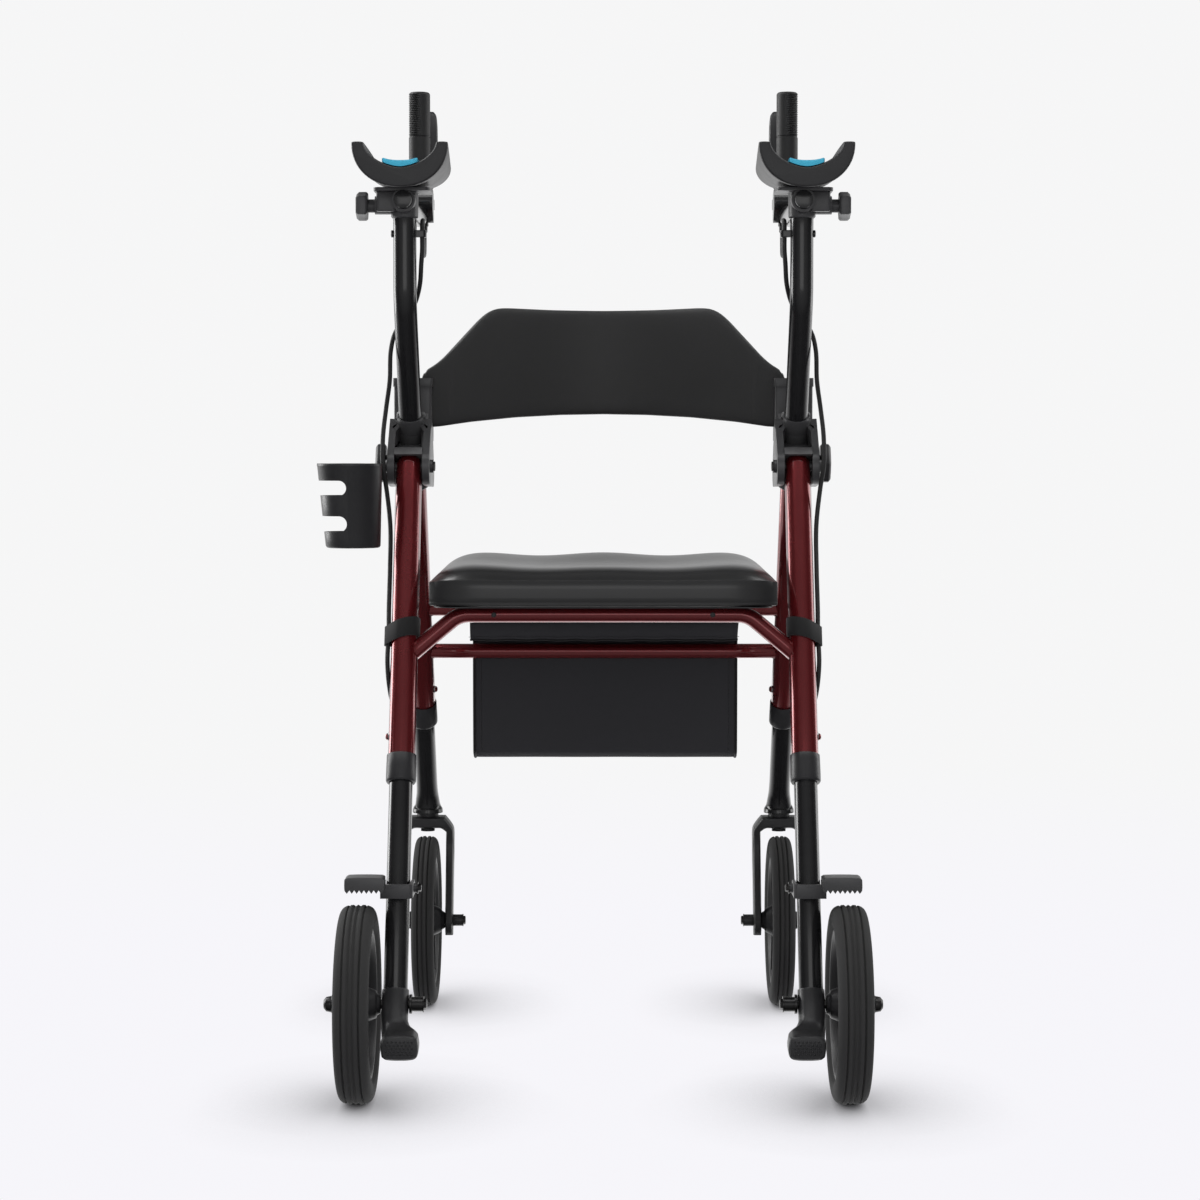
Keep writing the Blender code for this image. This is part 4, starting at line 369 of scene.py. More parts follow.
def corner_normals(faces, areas, edge_faces, sharp):
    """The normal at each face corner, averaged over the faces that meet there without a crease."""
    around = {}
    for index, face in enumerate(faces):
        for corner_index, vertex in enumerate(face):
            before = face[corner_index - 1]
            after = face[(corner_index + 1) % len(face)]
            around.setdefault(vertex, {})[index] = (frozenset((vertex, before)), frozenset((vertex, after)))
    normals = {}
    for vertex, corner in around.items():
        left = set(corner)
        while left:
            fan = [left.pop()]
            for member in fan:
                for edge in corner[member]:
                    if edge in sharp:
                        continue
                    for other in edge_faces[edge]:
                        if other in left:
                            left.discard(other)
                            fan.append(other)
            total = Vector()
            for member in fan:
                total += areas[member]
            total.normalize()
            for member in fan:
                normals[member, vertex] = total
    return normals


def round_once(points, faces, sharp, tolerance):
    """Splits each edge that bows away from its curve, and puts the new point on the curve."""
    areas = [newell(points, face) for face in faces]
    edge_faces = faces_by_edge(faces)
    normals = corner_normals(faces, areas, edge_faces, sharp)
    lifts = {}
    for edge, owners in edge_faces.items():
        a, b = edge
        span = points[b] - points[a]
        best = Vector()
        for owner in owners:
            at_a = normals[owner, a]
            at_b = normals[owner, b]
            lift = (at_b * span.dot(at_b) - at_a * span.dot(at_a)) / 8
            if lift.length > best.length:
                best = lift
        lifts[edge] = best if best.length < MOST_BOW * span.length else Vector()
    split = {edge for edge, lift in lifts.items() if lift.length > tolerance}
    if not split:
        return points, faces, sharp, False
    curved = []
    for index, face in enumerate(faces):
        flat = areas[index].normalized()
        if any(normals[index, vertex].dot(flat) < FLAT_DOT for vertex in face):
            curved.append(index)
    changed = True
    while changed:
        changed = False
        for index in curved:
            face = faces[index]
            edges = [frozenset(pair) for pair in zip(face, face[1:] + face[:1])]
            marks = [edge in split for edge in edges]
            if not any(marks) or all(marks):
                continue
            if len(face) == 4 and marks[0] == marks[2] and marks[1] == marks[3]:
                continue
            split.update(edges)
            changed = True
    points = list(points)
    middle = {}
    for edge in split:
        a, b = edge
        middle[edge] = len(points)
        points.append((points[a] + points[b]) / 2 + lifts[edge])
    is_curved = set(curved)
    made = []
    for index, face in enumerate(faces):
        edges = [frozenset(pair) for pair in zip(face, face[1:] + face[:1])]
        marks = [edge in split for edge in edges]
        if not any(marks):
            made.append(face)
        elif index not in is_curved:
            around = []
            for vertex, edge in zip(face, edges):
                around.append(vertex)
                if edge in middle:
                    around.append(middle[edge])
            made.append(around)
        elif len(face) == 4 and not all(marks):
            first = 0 if marks[0] else 1
            a, b, c, d = face[first:] + face[:first]
            near = middle[edges[first]]
            far = middle[edges[(first + 2) % 4]]
            made += [[a, near, far, d], [near, b, c, far]]
        elif len(face) == 3:
            mids = [middle[edge] for edge in edges]
            made += [[face[0], mids[0], mids[2]], [face[1], mids[1], mids[0]], [face[2], mids[2], mids[1]], mids]
        else:
            centre = Vector()
            for vertex in face:
                centre += points[vertex] / len(face)
            for edge in edges:
                centre += lifts[edge] * (2 / len(face))
            points.append(centre)
            for corner_index, vertex in enumerate(face):
                made.append([vertex, middle[edges[corner_index]], len(points) - 1, middle[edges[corner_index - 1]]])
    creased = set()
    for edge in sharp:
        if edge in middle:
            creased.update(frozenset((vertex, middle[edge])) for vertex in edge)
        else:
            creased.add(edge)
    return points, made, creased, True


def refined_mesh(node, tolerance):
    """A copy of a frame node with its facets joined up and its round faces made smooth."""
    bm = bmesh.new()
    bm.from_mesh(frame["nodes"][node].data)
    bmesh.ops.remove_doubles(bm, verts=bm.verts, dist=2e-6)
    bmesh.ops.dissolve_limit(bm, angle_limit=math.radians(JOIN_ANGLE), verts=bm.verts, edges=bm.edges)
    bm.verts.index_update()
    points = [vert.co.copy() for vert in bm.verts]
    faces = [[vert.index for vert in face.verts] for face in bm.faces]
    sharp = set()
    for edge in bm.edges:
        if len(edge.link_faces) != 2 or edge.calc_face_angle(math.pi) > math.radians(CREASE_ANGLE):
            sharp.add(frozenset(vert.index for vert in edge.verts))
    bm.free()
    for _ in range(MOST_ROUNDS):
        points, faces, sharp, more = round_once(points, faces, sharp, tolerance)
        if not more:
            break
    mesh = bpy.data.meshes.new(node)
    mesh.from_pydata(points, [], faces)
    mesh.validate()
    mesh.shade_smooth()
    return mesh


# Node tree helpers

def feed(tree, value, socket):
    """Links another socket to this one, or sets this one's own value."""
    if isinstance(value, bpy.types.NodeSocket):
        tree.links.new(value, socket)
    else:
        socket.default_value = value


def add_node(tree, kind, inputs=None, **settings):
    """A node with its settings. Its inputs, by label or number, are given as values or sockets."""
    node = tree.nodes.new(kind)
    for name, value in settings.items():
        setattr(node, name, value)
    for label, value in (inputs or {}).items():
        feed(tree, value, node.inputs[label])
    return node


def new_group(name, kind, inputs, outputs):
    """A node group with named sockets: inputs as (label, type, default) and outputs as (label, type)."""
    tree = bpy.data.node_groups.new(name, kind)
    for label, socket_type, default in inputs:
        socket = tree.interface.new_socket(label, in_out="INPUT", socket_type=f"NodeSocket{socket_type}")
        if default is not None:
            socket.default_value = default
    for label, socket_type in outputs:
        tree.interface.new_socket(label, in_out="OUTPUT", socket_type=f"NodeSocket{socket_type}")
    return tree, tree.nodes.new("NodeGroupInput").outputs, tree.nodes.new("NodeGroupOutput").inputs


def math_node(tree, operation, *operands, clamp=False):
    """The result of a math node whose operands are numbers or sockets."""
    node = add_node(tree, "ShaderNodeMath", dict(enumerate(operands)), operation=operation, use_clamp=clamp)
    return node.outputs[0]


def mix_node(tree, kind, factor, first, second):
    """The result of mixing two colours, where the kind is Color, or two numbers, where it is Float."""
    node = add_node(tree, "ShaderNodeMix", data_type="RGBA" if kind == "Color" else "FLOAT")
    sockets = {socket.identifier: socket for socket in (*node.inputs, *node.outputs)}
    for identifier, value in (("Factor_Float", factor), (f"A_{kind}", first), (f"B_{kind}", second)):
        feed(tree, value, sockets[identifier])
    return sockets[f"Result_{kind}"]


def noise(tree, vector, scale, detail, roughness=0.55):
    return add_node(tree, "ShaderNodeTexNoise", {
        "Vector": vector, "Scale": scale, "Detail": detail, "Roughness": roughness}).outputs["Fac"]


def object_place(tree):
    return tree.nodes.new("ShaderNodeTexCoord").outputs["Object"]


# Shader groups

FINE_TIMES = 14.0
FINE_SHARE = 0.25
PATCH_STEEPNESS = 3.2
PATCH_START = -1.1
SLOW_SCALE = 38.0


def make_handling_group():
    """Large soft patches where a surface is a little lighter and duller from use and dust."""
    tree, enter, leave = new_group("Handling", "ShaderNodeTree", [
        ("Colour", "Color", (0.1, 0.1, 0.1, 1)),
        ("Worn Colour", "Color", (0.2, 0.2, 0.2, 1)),
        ("Roughness", "Float", 0.4),
        ("Spread", "Float", 0.1),
        ("Scale", "Float", 9.0),
        ("Amount", "Float", 0.3),
    ], [("Colour", "Color"), ("Roughness", "Float")])
    place = object_place(tree)
    broad = noise(tree, place, enter["Scale"], 4.0)
    fine = noise(tree, place, math_node(tree, "MULTIPLY", enter["Scale"], FINE_TIMES), 2.0)
    patch = math_node(tree, "MULTIPLY_ADD", broad, 1 - FINE_SHARE, math_node(tree, "MULTIPLY", fine, FINE_SHARE))
    steep = math_node(tree, "MULTIPLY_ADD", patch, PATCH_STEEPNESS, PATCH_START, clamp=True)
    worn = math_node(tree, "MULTIPLY", steep, enter["Amount"])
    shift = math_node(tree, "SUBTRACT", steep, 0.5)
    feed(tree, mix_node(tree, "Color", worn, enter["Colour"], enter["Worn Colour"]), leave["Colour"])
    feed(tree, math_node(tree, "MULTIPLY_ADD", shift, enter["Spread"], enter["Roughness"]), leave["Roughness"])


def make_grain_group():
    """A fine moulded or sprayed texture, as a normal."""
    tree, enter, leave = new_group("Fine Grain", "ShaderNodeTree", [
        ("Size", "Float", 0.0008),
        ("Depth", "Float", 0.00002),
        ("Waviness", "Float", 0.0),
    ], [("Normal", "Vector")])
    place = object_place(tree)
    pits = noise(tree, place, math_node(tree, "DIVIDE", 1.0, enter["Size"]), 2.0, 0.6)
    slow = noise(tree, place, SLOW_SCALE, 1.0)
    height = math_node(tree, "MULTIPLY_ADD", slow, enter["Waviness"], pits)
    bump = add_node(tree, "ShaderNodeBump", {"Strength": 1.0, "Distance": enter["Depth"], "Height": height})
    feed(tree, bump.outputs["Normal"], leave["Normal"])


def make_weave_group():
    """Threads over and under each other, on a map that is laid out in metres."""
    tree, enter, leave = new_group("Plain Weave", "ShaderNodeTree", [
        ("Pitch", "Float", 0.0012),
        ("Depth", "Float", 0.0001),
    ], [("Thread", "Float"), ("Normal", "Vector")])
    place = tree.nodes.new("ShaderNodeTexCoord").outputs["UV"]
    split = add_node(tree, "ShaderNodeSeparateXYZ", {0: place}).outputs
    waves = []
    for axis in ("X", "Y"):
        turns = math_node(tree, "DIVIDE", split[axis], enter["Pitch"])
        waves.append(math_node(tree, "SINE", math_node(tree, "MULTIPLY", turns, math.pi)))
    weft = math_node(tree, "MULTIPLY_ADD", math_node(tree, "MULTIPLY", *waves), 0.5, 0.5)
    ridges = [math_node(tree, "ABSOLUTE", wave) for wave in waves]
    thread = mix_node(tree, "Float", weft, *ridges)
    bump = add_node(tree, "ShaderNodeBump", {"Distance": enter["Depth"], "Height": thread})
    feed(tree, thread, leave["Thread"])
    feed(tree, bump.outputs["Normal"], leave["Normal"])


def use_group(tree, name, values):
    """Places a shader group in a material and hands back its outputs."""
    return add_node(tree, "ShaderNodeGroup", values, node_tree=bpy.data.node_groups[name]).outputs


# Finishes

SHADED_THREAD = 0.62
LIT_THREAD = 1.22
WORN_THREAD = 1.8


def rgba(colour, factor=1.0):
    return (colour[0] * factor, colour[1] * factor, colour[2] * factor, 1.0)


def new_material(name, colour):
    """A material's node tree and the inputs of its shader."""
    material = bpy.data.materials.new(name)
    material.use_nodes = True
    material.diffuse_color = rgba(colour)
    return material.node_tree, material.node_tree.nodes["Principled BSDF"].inputs


def new_finish(name, colour, worn, gloss, patches, grain, **constants):
    """A finish with use marks and a fine grain. Constant values go on the shader's own sockets.

    Gloss is the roughness and its spread, patches are the amount and scale of the worn places, and grain is its
    size, depth and waviness.
    """
    tree, shader = new_material(name, colour)
    handling = use_group(tree, "Handling", {
        "Colour": rgba(colour), "Worn Colour": rgba(worn), "Roughness": gloss[0], "Spread": gloss[1],
        "Amount": patches[0], "Scale": patches[1]})
    texture = use_group(tree, "Fine Grain", dict(zip(("Size", "Depth", "Waviness"), grain)))
    feed(tree, handling["Colour"], shader["Base Color"])
    feed(tree, handling["Roughness"], shader["Roughness"])
    feed(tree, texture["Normal"], shader["Normal"])
    for label, value in constants.items():
        shader[label.replace("_", " ")].default_value = value


def new_cloth(name, colour, pitch, depth, roughness, sheen):
    """A woven finish on the piece's own map."""
    tree, shader = new_material(name, colour)
    weave = use_group(tree, "Plain Weave", {"Pitch": pitch, "Depth": depth})
    # Threads are painted in a lit and a shaded copy of the cloth's colour by their height: painted highlight on their
    # tops, painted shade between them.
    threads = mix_node(tree, "Color", weave["Thread"], rgba(colour, SHADED_THREAD), rgba(colour, LIT_THREAD))
    handling = use_group(tree, "Handling", {
        "Colour": threads, "Worn Colour": rgba(colour, WORN_THREAD), "Roughness": roughness,
        "Spread": 0.08, "Amount": 0.18, "Scale": 7.0})
    feed(tree, handling["Colour"], shader["Base Color"])
    feed(tree, handling["Roughness"], shader["Roughness"])
    feed(tree, weave["Normal"], shader["Normal"])
    shader["Sheen Weight"].default_value = sheen
    shader["Sheen Roughness"].default_value = 0.45


FINISH_OF_SLOT = {
    "red_paint": "wine_enamel",
    "black_paint": "black_powder",
    "black_plastic": "moulded_black",
    "hub_plastic": "hub_black",
    "black_rubber": "soft_rubber",
    "tyre_rubber": "tyre_rubber",
    "black_pad": "pad_skin",
    "black_foam": "backrest_foam",
    "blue_gel": "blue_gel",
    "seat_vinyl": "seat_skin",
    "bag_cloth": "bag_cloth",
    "webbing": "strap_webbing",
    "steel": "dark_steel",
}


class RollatorFinishes(bpy.types.Operator):
    """Makes every finish of the rollator"""

    bl_idname = "rollator.finishes"
    bl_label = "Finishes"

    def execute(self, context):
        looks = context.scene.rollator_finishes
        make_handling_group()
        make_grain_group()
        make_weave_group()
        new_finish("wine_enamel", looks.enamel, (0.23, 0.030, 0.035), (0.26, 0.05), (0.25, 6.0),
                   (0.0021, 0.000003, 0.0), Metallic=0.66, Coat_Weight=1.0, Coat_Roughness=0.045, Coat_IOR=1.5)
        new_finish("black_powder", looks.powder, (0.030, 0.030, 0.031), (0.22, 0.07), (0.2, 7.0),
                   (0.0013, 0.000005, 0.0), Coat_Weight=0.35, Coat_Roughness=0.12)
        new_finish("moulded_black", looks.moulded, (0.045, 0.045, 0.047), (0.40, 0.14), (0.25, 12.0),
                   (0.0009, 0.00004, 0.1))
        new_finish("hub_black", (0.019, 0.019, 0.021), (0.04, 0.04, 0.042), (0.48, 0.12), (0.3, 14.0),
                   (0.0010, 0.00005, 0.1))
        new_finish("moulded_grey", (0.049, 0.049, 0.051), (0.072, 0.072, 0.075), (0.36, 0.12), (0.25, 12.0),
                   (0.0009, 0.00003, 0.1))
        new_finish("soft_rubber", looks.rubber, (0.032, 0.032, 0.032), (0.58, 0.14), (0.3, 16.0),
                   (0.0007, 0.00004, 0.0))
        new_finish("tyre_rubber", rgba(looks.rubber, 0.7), (0.027, 0.0265, 0.026), (0.33, 0.16), (0.40, 10.0),
                   (0.0008, 0.00003, 0.1))
        new_finish("pad_skin", (0.020, 0.020, 0.0215), (0.036, 0.036, 0.038), (0.46, 0.12), (0.3, 9.0),
                   (0.0016, 0.00008, 0.3))
        new_finish("backrest_foam", (0.0215, 0.0215, 0.022), (0.031, 0.031, 0.032), (0.60, 0.10), (0.25, 6.0),
                   (0.0014, 0.00010, 0.3), Sheen_Weight=0.15, Sheen_Roughness=0.5)
        new_finish("blue_gel", looks.gel, (0.12, 0.60, 0.82), (0.30, 0.10), (0.3, 22.0),
                   (0.0011, 0.00004, 0.2), Coat_Weight=0.3, Coat_Roughness=0.2)
        new_finish("seat_skin", looks.skin, (0.028, 0.028, 0.029), (0.30, 0.06), (0.25, 6.0),
                   (0.0015, 0.000016, 0.1), Coat_Weight=0.25, Coat_Roughness=0.18)
        new_finish("dark_steel", (0.045, 0.045, 0.047), (0.11, 0.105, 0.10), (0.34, 0.16), (0.4, 30.0),
                   (0.0006, 0.00002, 0.0), Metallic=1.0)
        new_finish("bright_steel", (0.55, 0.55, 0.56), (0.40, 0.38, 0.36), (0.28, 0.14), (0.3, 30.0),
                   (0.0006, 0.00001, 0.0), Metallic=1.0)
        new_finish("black_thread", (0.030, 0.030, 0.031), (0.05, 0.05, 0.05), (0.70, 0.1), (0.2, 30.0),
                   (0.0005, 0.00004, 0.0))
        new_cloth("bag_cloth", looks.cloth, pitch=0.00085, depth=0.00016, roughness=0.78, sheen=0.25)
        new_cloth("strap_webbing", (0.012, 0.012, 0.013), pitch=0.0013, depth=0.00030, roughness=0.80, sheen=0.20)
        return {"FINISHED"}


# Geometry trees for what repeats

# A bolt head's washer, body and chamfer: sides, radius below and above, height and lift, as shares of the head's
HEAD_PARTS = (
    (24, 1.45, 1.45, 0.30, 0.0),
    (None, 1.0, 1.0, 0.85, 0.30),
    (None, 1.0, 0.78, 0.20, 1.15),
)
THREAD_SIDES = 6
THREAD_RINGS = 5
STITCH_SHARE = 0.36


def geometry_tree(name, inputs):
    """A tree that takes a mesh and a finish beside its own inputs."""
    return new_group(
        name, "GeometryNodeTree", [("Geometry", "Geometry", None), *inputs, ("Finish", "Material", None)],
        [("Geometry", "Geometry")])


def end_tree(tree, enter, leave, instances):
    """Realizes the instances and gives them their finish."""
    real = add_node(tree, "GeometryNodeRealizeInstances", {"Geometry": instances}).outputs["Geometry"]
    paint = add_node(tree, "GeometryNodeSetMaterial", {"Geometry": real, "Material": enter["Finish"]})
    feed(tree, paint.outputs["Geometry"], leave["Geometry"])


def make_copies_tree():
    """Repeats a shape, each copy turned about a centre by one more step."""
    tree, enter, leave = geometry_tree("Copies In Turn", [
        ("Count", "Int", 6),
        ("Centre", "Vector", (0, 0, 0)),
        ("Turn", "Vector", (0, 0, 0)),
    ])
    single = add_node(tree, "GeometryNodeGeometryToInstance", {0: enter["Geometry"]}).outputs[0]
    repeat = add_node(tree, "GeometryNodeDuplicateElements", domain="INSTANCE")
    feed(tree, single, repeat.inputs["Geometry"])
    feed(tree, enter["Count"], repeat.inputs["Amount"])
    angle = add_node(tree, "ShaderNodeVectorMath", {
        0: enter["Turn"], "Scale": repeat.outputs["Duplicate Index"]}, operation="SCALE")
    turn = add_node(tree, "GeometryNodeRotateInstances", {
        "Instances": repeat.outputs["Geometry"], "Rotation": angle.outputs[0], "Pivot Point": enter["Centre"],
        "Local Space": False})
    end_tree(tree, enter, leave, turn.outputs["Instances"])


def make_heads_tree():
    """Puts a bolt's washer, head and chamfer on every point, facing the way the point says."""
    tree, enter, leave = geometry_tree("Bolt Heads", [
        ("Sides", "Int", 6),
        ("Radius", "Float", 0.004),
        ("Height", "Float", 0.003),
    ])
    join = tree.nodes.new("GeometryNodeJoinGeometry")
    for sides, base, top, tall, lift in HEAD_PARTS:
        cone = add_node(tree, "GeometryNodeMeshCone", {
            "Vertices": sides or enter["Sides"],
            "Radius Bottom": math_node(tree, "MULTIPLY", enter["Radius"], base),
            "Radius Top": math_node(tree, "MULTIPLY", enter["Radius"], top),
            "Depth": math_node(tree, "MULTIPLY", enter["Height"], tall)}, fill_type="NGON")
        shift = add_node(tree, "ShaderNodeCombineXYZ", {"Z": math_node(tree, "MULTIPLY", enter["Height"], lift)})
        move = add_node(tree, "GeometryNodeTransform", {
            "Geometry": cone.outputs["Mesh"], "Translation": shift.outputs[0]})
        feed(tree, move.outputs["Geometry"], join.inputs["Geometry"])
    ways = add_node(tree, "GeometryNodeInputNamedAttribute", {"Name": "facing"}, data_type="FLOAT_VECTOR")
    align = add_node(tree, "FunctionNodeAlignRotationToVector", {"Vector": ways.outputs["Attribute"]}, axis="Z")
    place = add_node(tree, "GeometryNodeInstanceOnPoints", {
        "Points": enter["Geometry"], "Instance": join.outputs["Geometry"], "Rotation": align.outputs["Rotation"]})
    end_tree(tree, enter, leave, place.outputs["Instances"])


def make_stitch_tree():
    """Lays short stitches along every line of a mesh."""
    tree, enter, leave = geometry_tree("Stitch Row", [
        ("Pitch", "Float", 0.004),
        ("Thread", "Float", 0.0003),
    ])
    curve = add_node(tree, "GeometryNodeMeshToCurve", {"Mesh": enter["Geometry"]}).outputs["Curve"]
    spaced = add_node(tree, "GeometryNodeResampleCurve", {"Curve": curve, "Length": enter["Pitch"]}, mode="LENGTH")
    tangent = tree.nodes.new("GeometryNodeInputTangent").outputs[0]
    align = add_node(tree, "FunctionNodeAlignRotationToVector", {"Vector": tangent}, axis="Z")
    thread = add_node(tree, "GeometryNodeMeshUVSphere", {
        "Segments": THREAD_SIDES, "Rings": THREAD_RINGS, "Radius": 1.0})
    size = add_node(tree, "ShaderNodeCombineXYZ", {
        "X": enter["Thread"], "Y": enter["Thread"], "Z": math_node(tree, "MULTIPLY", enter["Pitch"], STITCH_SHARE)})
    place = add_node(tree, "GeometryNodeInstanceOnPoints", {
        "Points": spaced.outputs["Curve"], "Instance": thread.outputs["Mesh"],
        "Rotation": align.outputs["Rotation"], "Scale": size.outputs[0]})
    end_tree(tree, enter, leave, place.outputs["Instances"])


def grow(name, mesh, tree_name, finish, values):
    """Runs a geometry tree on a mesh and hands back the plain mesh that comes out."""
    values["Finish"] = bpy.data.materials[finish]
    tree = bpy.data.node_groups[tree_name]
    seed = in_scene(name, mesh)
    modifier = seed.modifiers.new(tree_name, "NODES")
    modifier.node_group = tree
    for socket in tree.interface.items_tree:
        if socket.item_type == "SOCKET" and socket.in_out == "INPUT" and socket.name in values:
            modifier[socket.identifier] = values[socket.name]
    return plain_mesh(seed)


BOLT_SIDES = 6
THREAD = 0.00032


def add_heads(name, spots, radius, height, body):
    """Bolt heads at (point, direction) pairs, which are already in place."""
    mesh = bpy.data.meshes.new(name)
    mesh.from_pydata([spot for spot, _ in spots], [], [])
    facing = mesh.attributes.new("facing", "FLOAT_VECTOR", "POINT")
    for index, (_, direction) in enumerate(spots):
        facing.data[index].vector = direction
    made = grow(name, mesh, "Bolt Heads", "dark_steel", {"Sides": BOLT_SIDES, "Radius": radius, "Height": height})
    made.shade_smooth()
    made.set_sharp_from_angle(angle=math.radians(30))
    show(name, made, "dark_steel", body)


def add_stitches(name, lines, pitch, body):
    """Rows of stitches along lines of points that are already in place."""
    points = []
    edges = []
    for line in lines:
        start = len(points)
        points += line
        edges += [(index, index + 1) for index in range(start, len(points) - 1)]
    mesh = bpy.data.meshes.new(name)
    mesh.from_pydata(points, edges, [])
    made = grow(name, mesh, "Stitch Row", "black_thread", {"Pitch": pitch, "Thread": THREAD})
    made.shade_smooth()
    show(name, made, "black_thread", body)


def placed(sign, point):
    """A right side point, given from the midline, where it lies on either side."""
    return Vector((MIDLINE + sign * point.x, point.y, point.z))


class RollatorTrees(bpy.types.Operator):
    """Makes the geometry trees for spokes, bolt heads and stitches"""

    bl_idname = "rollator.trees"
    bl_label = "Trees"

    def execute(self, context):
        make_copies_tree()
        make_heads_tree()
        make_stitch_tree()
        return {"FINISHED"}


# The frame's own pieces

# A node's stem, whether it has two sides, and how far its edges are rounded
REFINED = (
    ("rear_leg", True, 0.0005),
    ("rear_collar", True, 0.0005),
    ("rear_lower_leg", True, 0.0003),
    ("rear_foot", True, 0.0008),
    ("rear_axle", True, 0.0004),
    ("brake_shoe", True, 0.0004),
    ("leg_band", True, 0.0002),
    ("front_leg", True, 0.0004),
    ("front_collar", True, 0.0005),
    ("front_lower_leg", True, 0.0004),
    ("caster_fork", True, 0.0009),
    ("bracket", True, 0.0006),
    ("height_knob", True, 0.0006),
    ("post", True, 0.0003),
    ("trough_clamp", True, 0.0006),
    ("reach_knob", True, 0.0006),
    ("reach_bar", True, 0.0004),
    ("brake_lever", True, 0.0004),
    ("front_seat_bar", False, 0.0003),
    ("front_lower_bar", False, 0.0003),
    ("rear_seat_tube", False, 0.0003),
)


GREY_MOULDINGS = ("bracket", "trough_clamp", "reach_knob", "brake_shoe")
# The bracket's sleeve: radii of its wall, how far it reaches round and down, and its radius once drawn in
SLEEVE_INSIDE = 0.0150
SLEEVE_OUTSIDE = 0.0203
SLEEVE_ROUND = 0.45
SLEEVE_FOOT = 0.480
SLEEVE_RIM = 0.0146
# The bracket's hood: half its width, its outer radius, where its near edge starts and how far that is lifted
HOOD_HALF = 0.0174
HOOD_OUTSIDE = 0.0195
HOOD_NEAR = -0.010
HOOD_RISE = 0.0050


def draw_in_bracket(mesh, sign):
    """Draws a bracket's sleeve in to the post, and lifts the hood's near edge off the leg's top."""
    for vert in mesh.vertices:
        place = Vector((sign * (vert.co.x - MIDLINE), vert.co.y, vert.co.z))
        offset = place - CASTER_HEAD
        offset.x -= LEG_PLANE - CASTER_HEAD.x
        along = offset.dot(FRONT_UP)
        radial = offset - FRONT_UP * along
        in_wall = SLEEVE_INSIDE < radial.length < SLEEVE_OUTSIDE
        if in_wall and radial.normalized().y < SLEEVE_ROUND and along > SLEEVE_FOOT:
            radial *= SLEEVE_RIM / radial.length - 1
            vert.co.x += sign * radial.x
            vert.co.y += radial.y
            vert.co.z += radial.z
            continue
        around = place - FOLD_PIN
        in_hood = SLEEVE_INSIDE < math.hypot(around.y, around.z) < HOOD_OUTSIDE
        if in_hood and abs(place.x - LEG_PLANE) < HOOD_HALF and around.y < HOOD_NEAR:
            vert.co.z += HOOD_RISE


class RollatorFrame(bpy.types.Operator):
    """Gives the frame's tubes, castings and mouldings their smooth form and finish"""

    bl_idname = "rollator.frame"
    bl_label = "Frame"

    def execute(self, context):
        tolerance = context.scene.rollator_shapes.arc_tolerance
        for stem, sided, width in REFINED:
            nodes = [f"{stem}_{side}" for side, _ in SIDES] if sided else [stem]
            for node in nodes:
                mesh = refined_mesh(node, tolerance)
                if stem == "bracket":
                    draw_in_bracket(mesh, -1 if node.endswith("L") else 1)
                mesh = eased_mesh(f"{node}_form", mesh, width)
                show_form(node, mesh, "moulded_grey" if stem in GREY_MOULDINGS else FINISH_OF_SLOT[SLOT_OF[node]])
        return {"FINISHED"}


# Wheels

FIRST_SPOKE = Matrix.Rotation(math.radians(-18), 3, "X")
REAR_TYRE_WIDTH = 0.036
FRONT_TYRE_WIDTH = 0.027
TYRE_BORE = 0.0777
TYRE_SHOULDER = 0.0860
TYRE_POWER = 3.3
TYRE_STEPS = 84
TYRE_SIDES = 112
CROWN_SHARE = 0.80
WIDE_GROOVE = 0.0012
NARROW_GROOVE = 0.0011
RIM = 0.0774
# Half the rim's width, and where the boss ends on the axle, inside and outside
REAR_HUB = (0.0142, -0.0235, 0.0265)
FRONT_HUB = (0.0105, -0.0219, 0.0219)
# A spoke from boss to rim: radii of its sections, then for its web and its rib half the thickness, and half the
# width at the boss and at the rim. Its middle section is this share of the first.
SPOKE_RADII = (0.0165, 0.0400, 0.0672)
SPOKE_PARTS = (
    (0.0040, 0.0088, 0.0098),
    (0.0098, 0.0016, 0.0014),
)
SPOKE_WAIST = 0.88


def tyre_section(width, grooves, depth):
    """A tyre's outline as (x, radius): round shoulders and a crown with grooves round it."""
    half = width / 2
    bead = [(half * 0.78, TYRE_BORE), (half * 0.80, TYRE_BORE + 0.0012), (half * 0.94, TYRE_BORE + 0.0030)]
    section = list(bead)
    spacing = 2 * half * CROWN_SHARE / (grooves + 1)
    places = [half * -CROWN_SHARE + spacing * (index + 1) for index in range(grooves)]
    reach = WIDE_GROOVE if grooves > 3 else NARROW_GROOVE
    for step in range(TYRE_STEPS + 1):
        angle = math.pi * step / TYRE_STEPS
        c = math.cos(angle)
        x = half * math.copysign(abs(c) ** (2 / TYRE_POWER), c)
        radius = TYRE_SHOULDER + (WHEEL_RADIUS - TYRE_SHOULDER) * math.sin(angle) ** (2 / TYRE_POWER)
        for place in places:
            away = abs(x - place) / reach
            if away < 1:
                radius -= depth * (0.5 + 0.5 * math.cos(math.pi * away)) ** 0.6
        section.append((x, radius))
    return section + [(-x, radius) for x, radius in reversed(bead)]


def add_tyre(node, centre, width, grooves, depth, sign):
    bm = bmesh.new()
    lathe(bm, centre, X_AXIS, tyre_section(width, grooves, depth), TYRE_SIDES, True)
    show_form(node, settled_mesh(node, bm, sign, 60), "tyre_rubber")


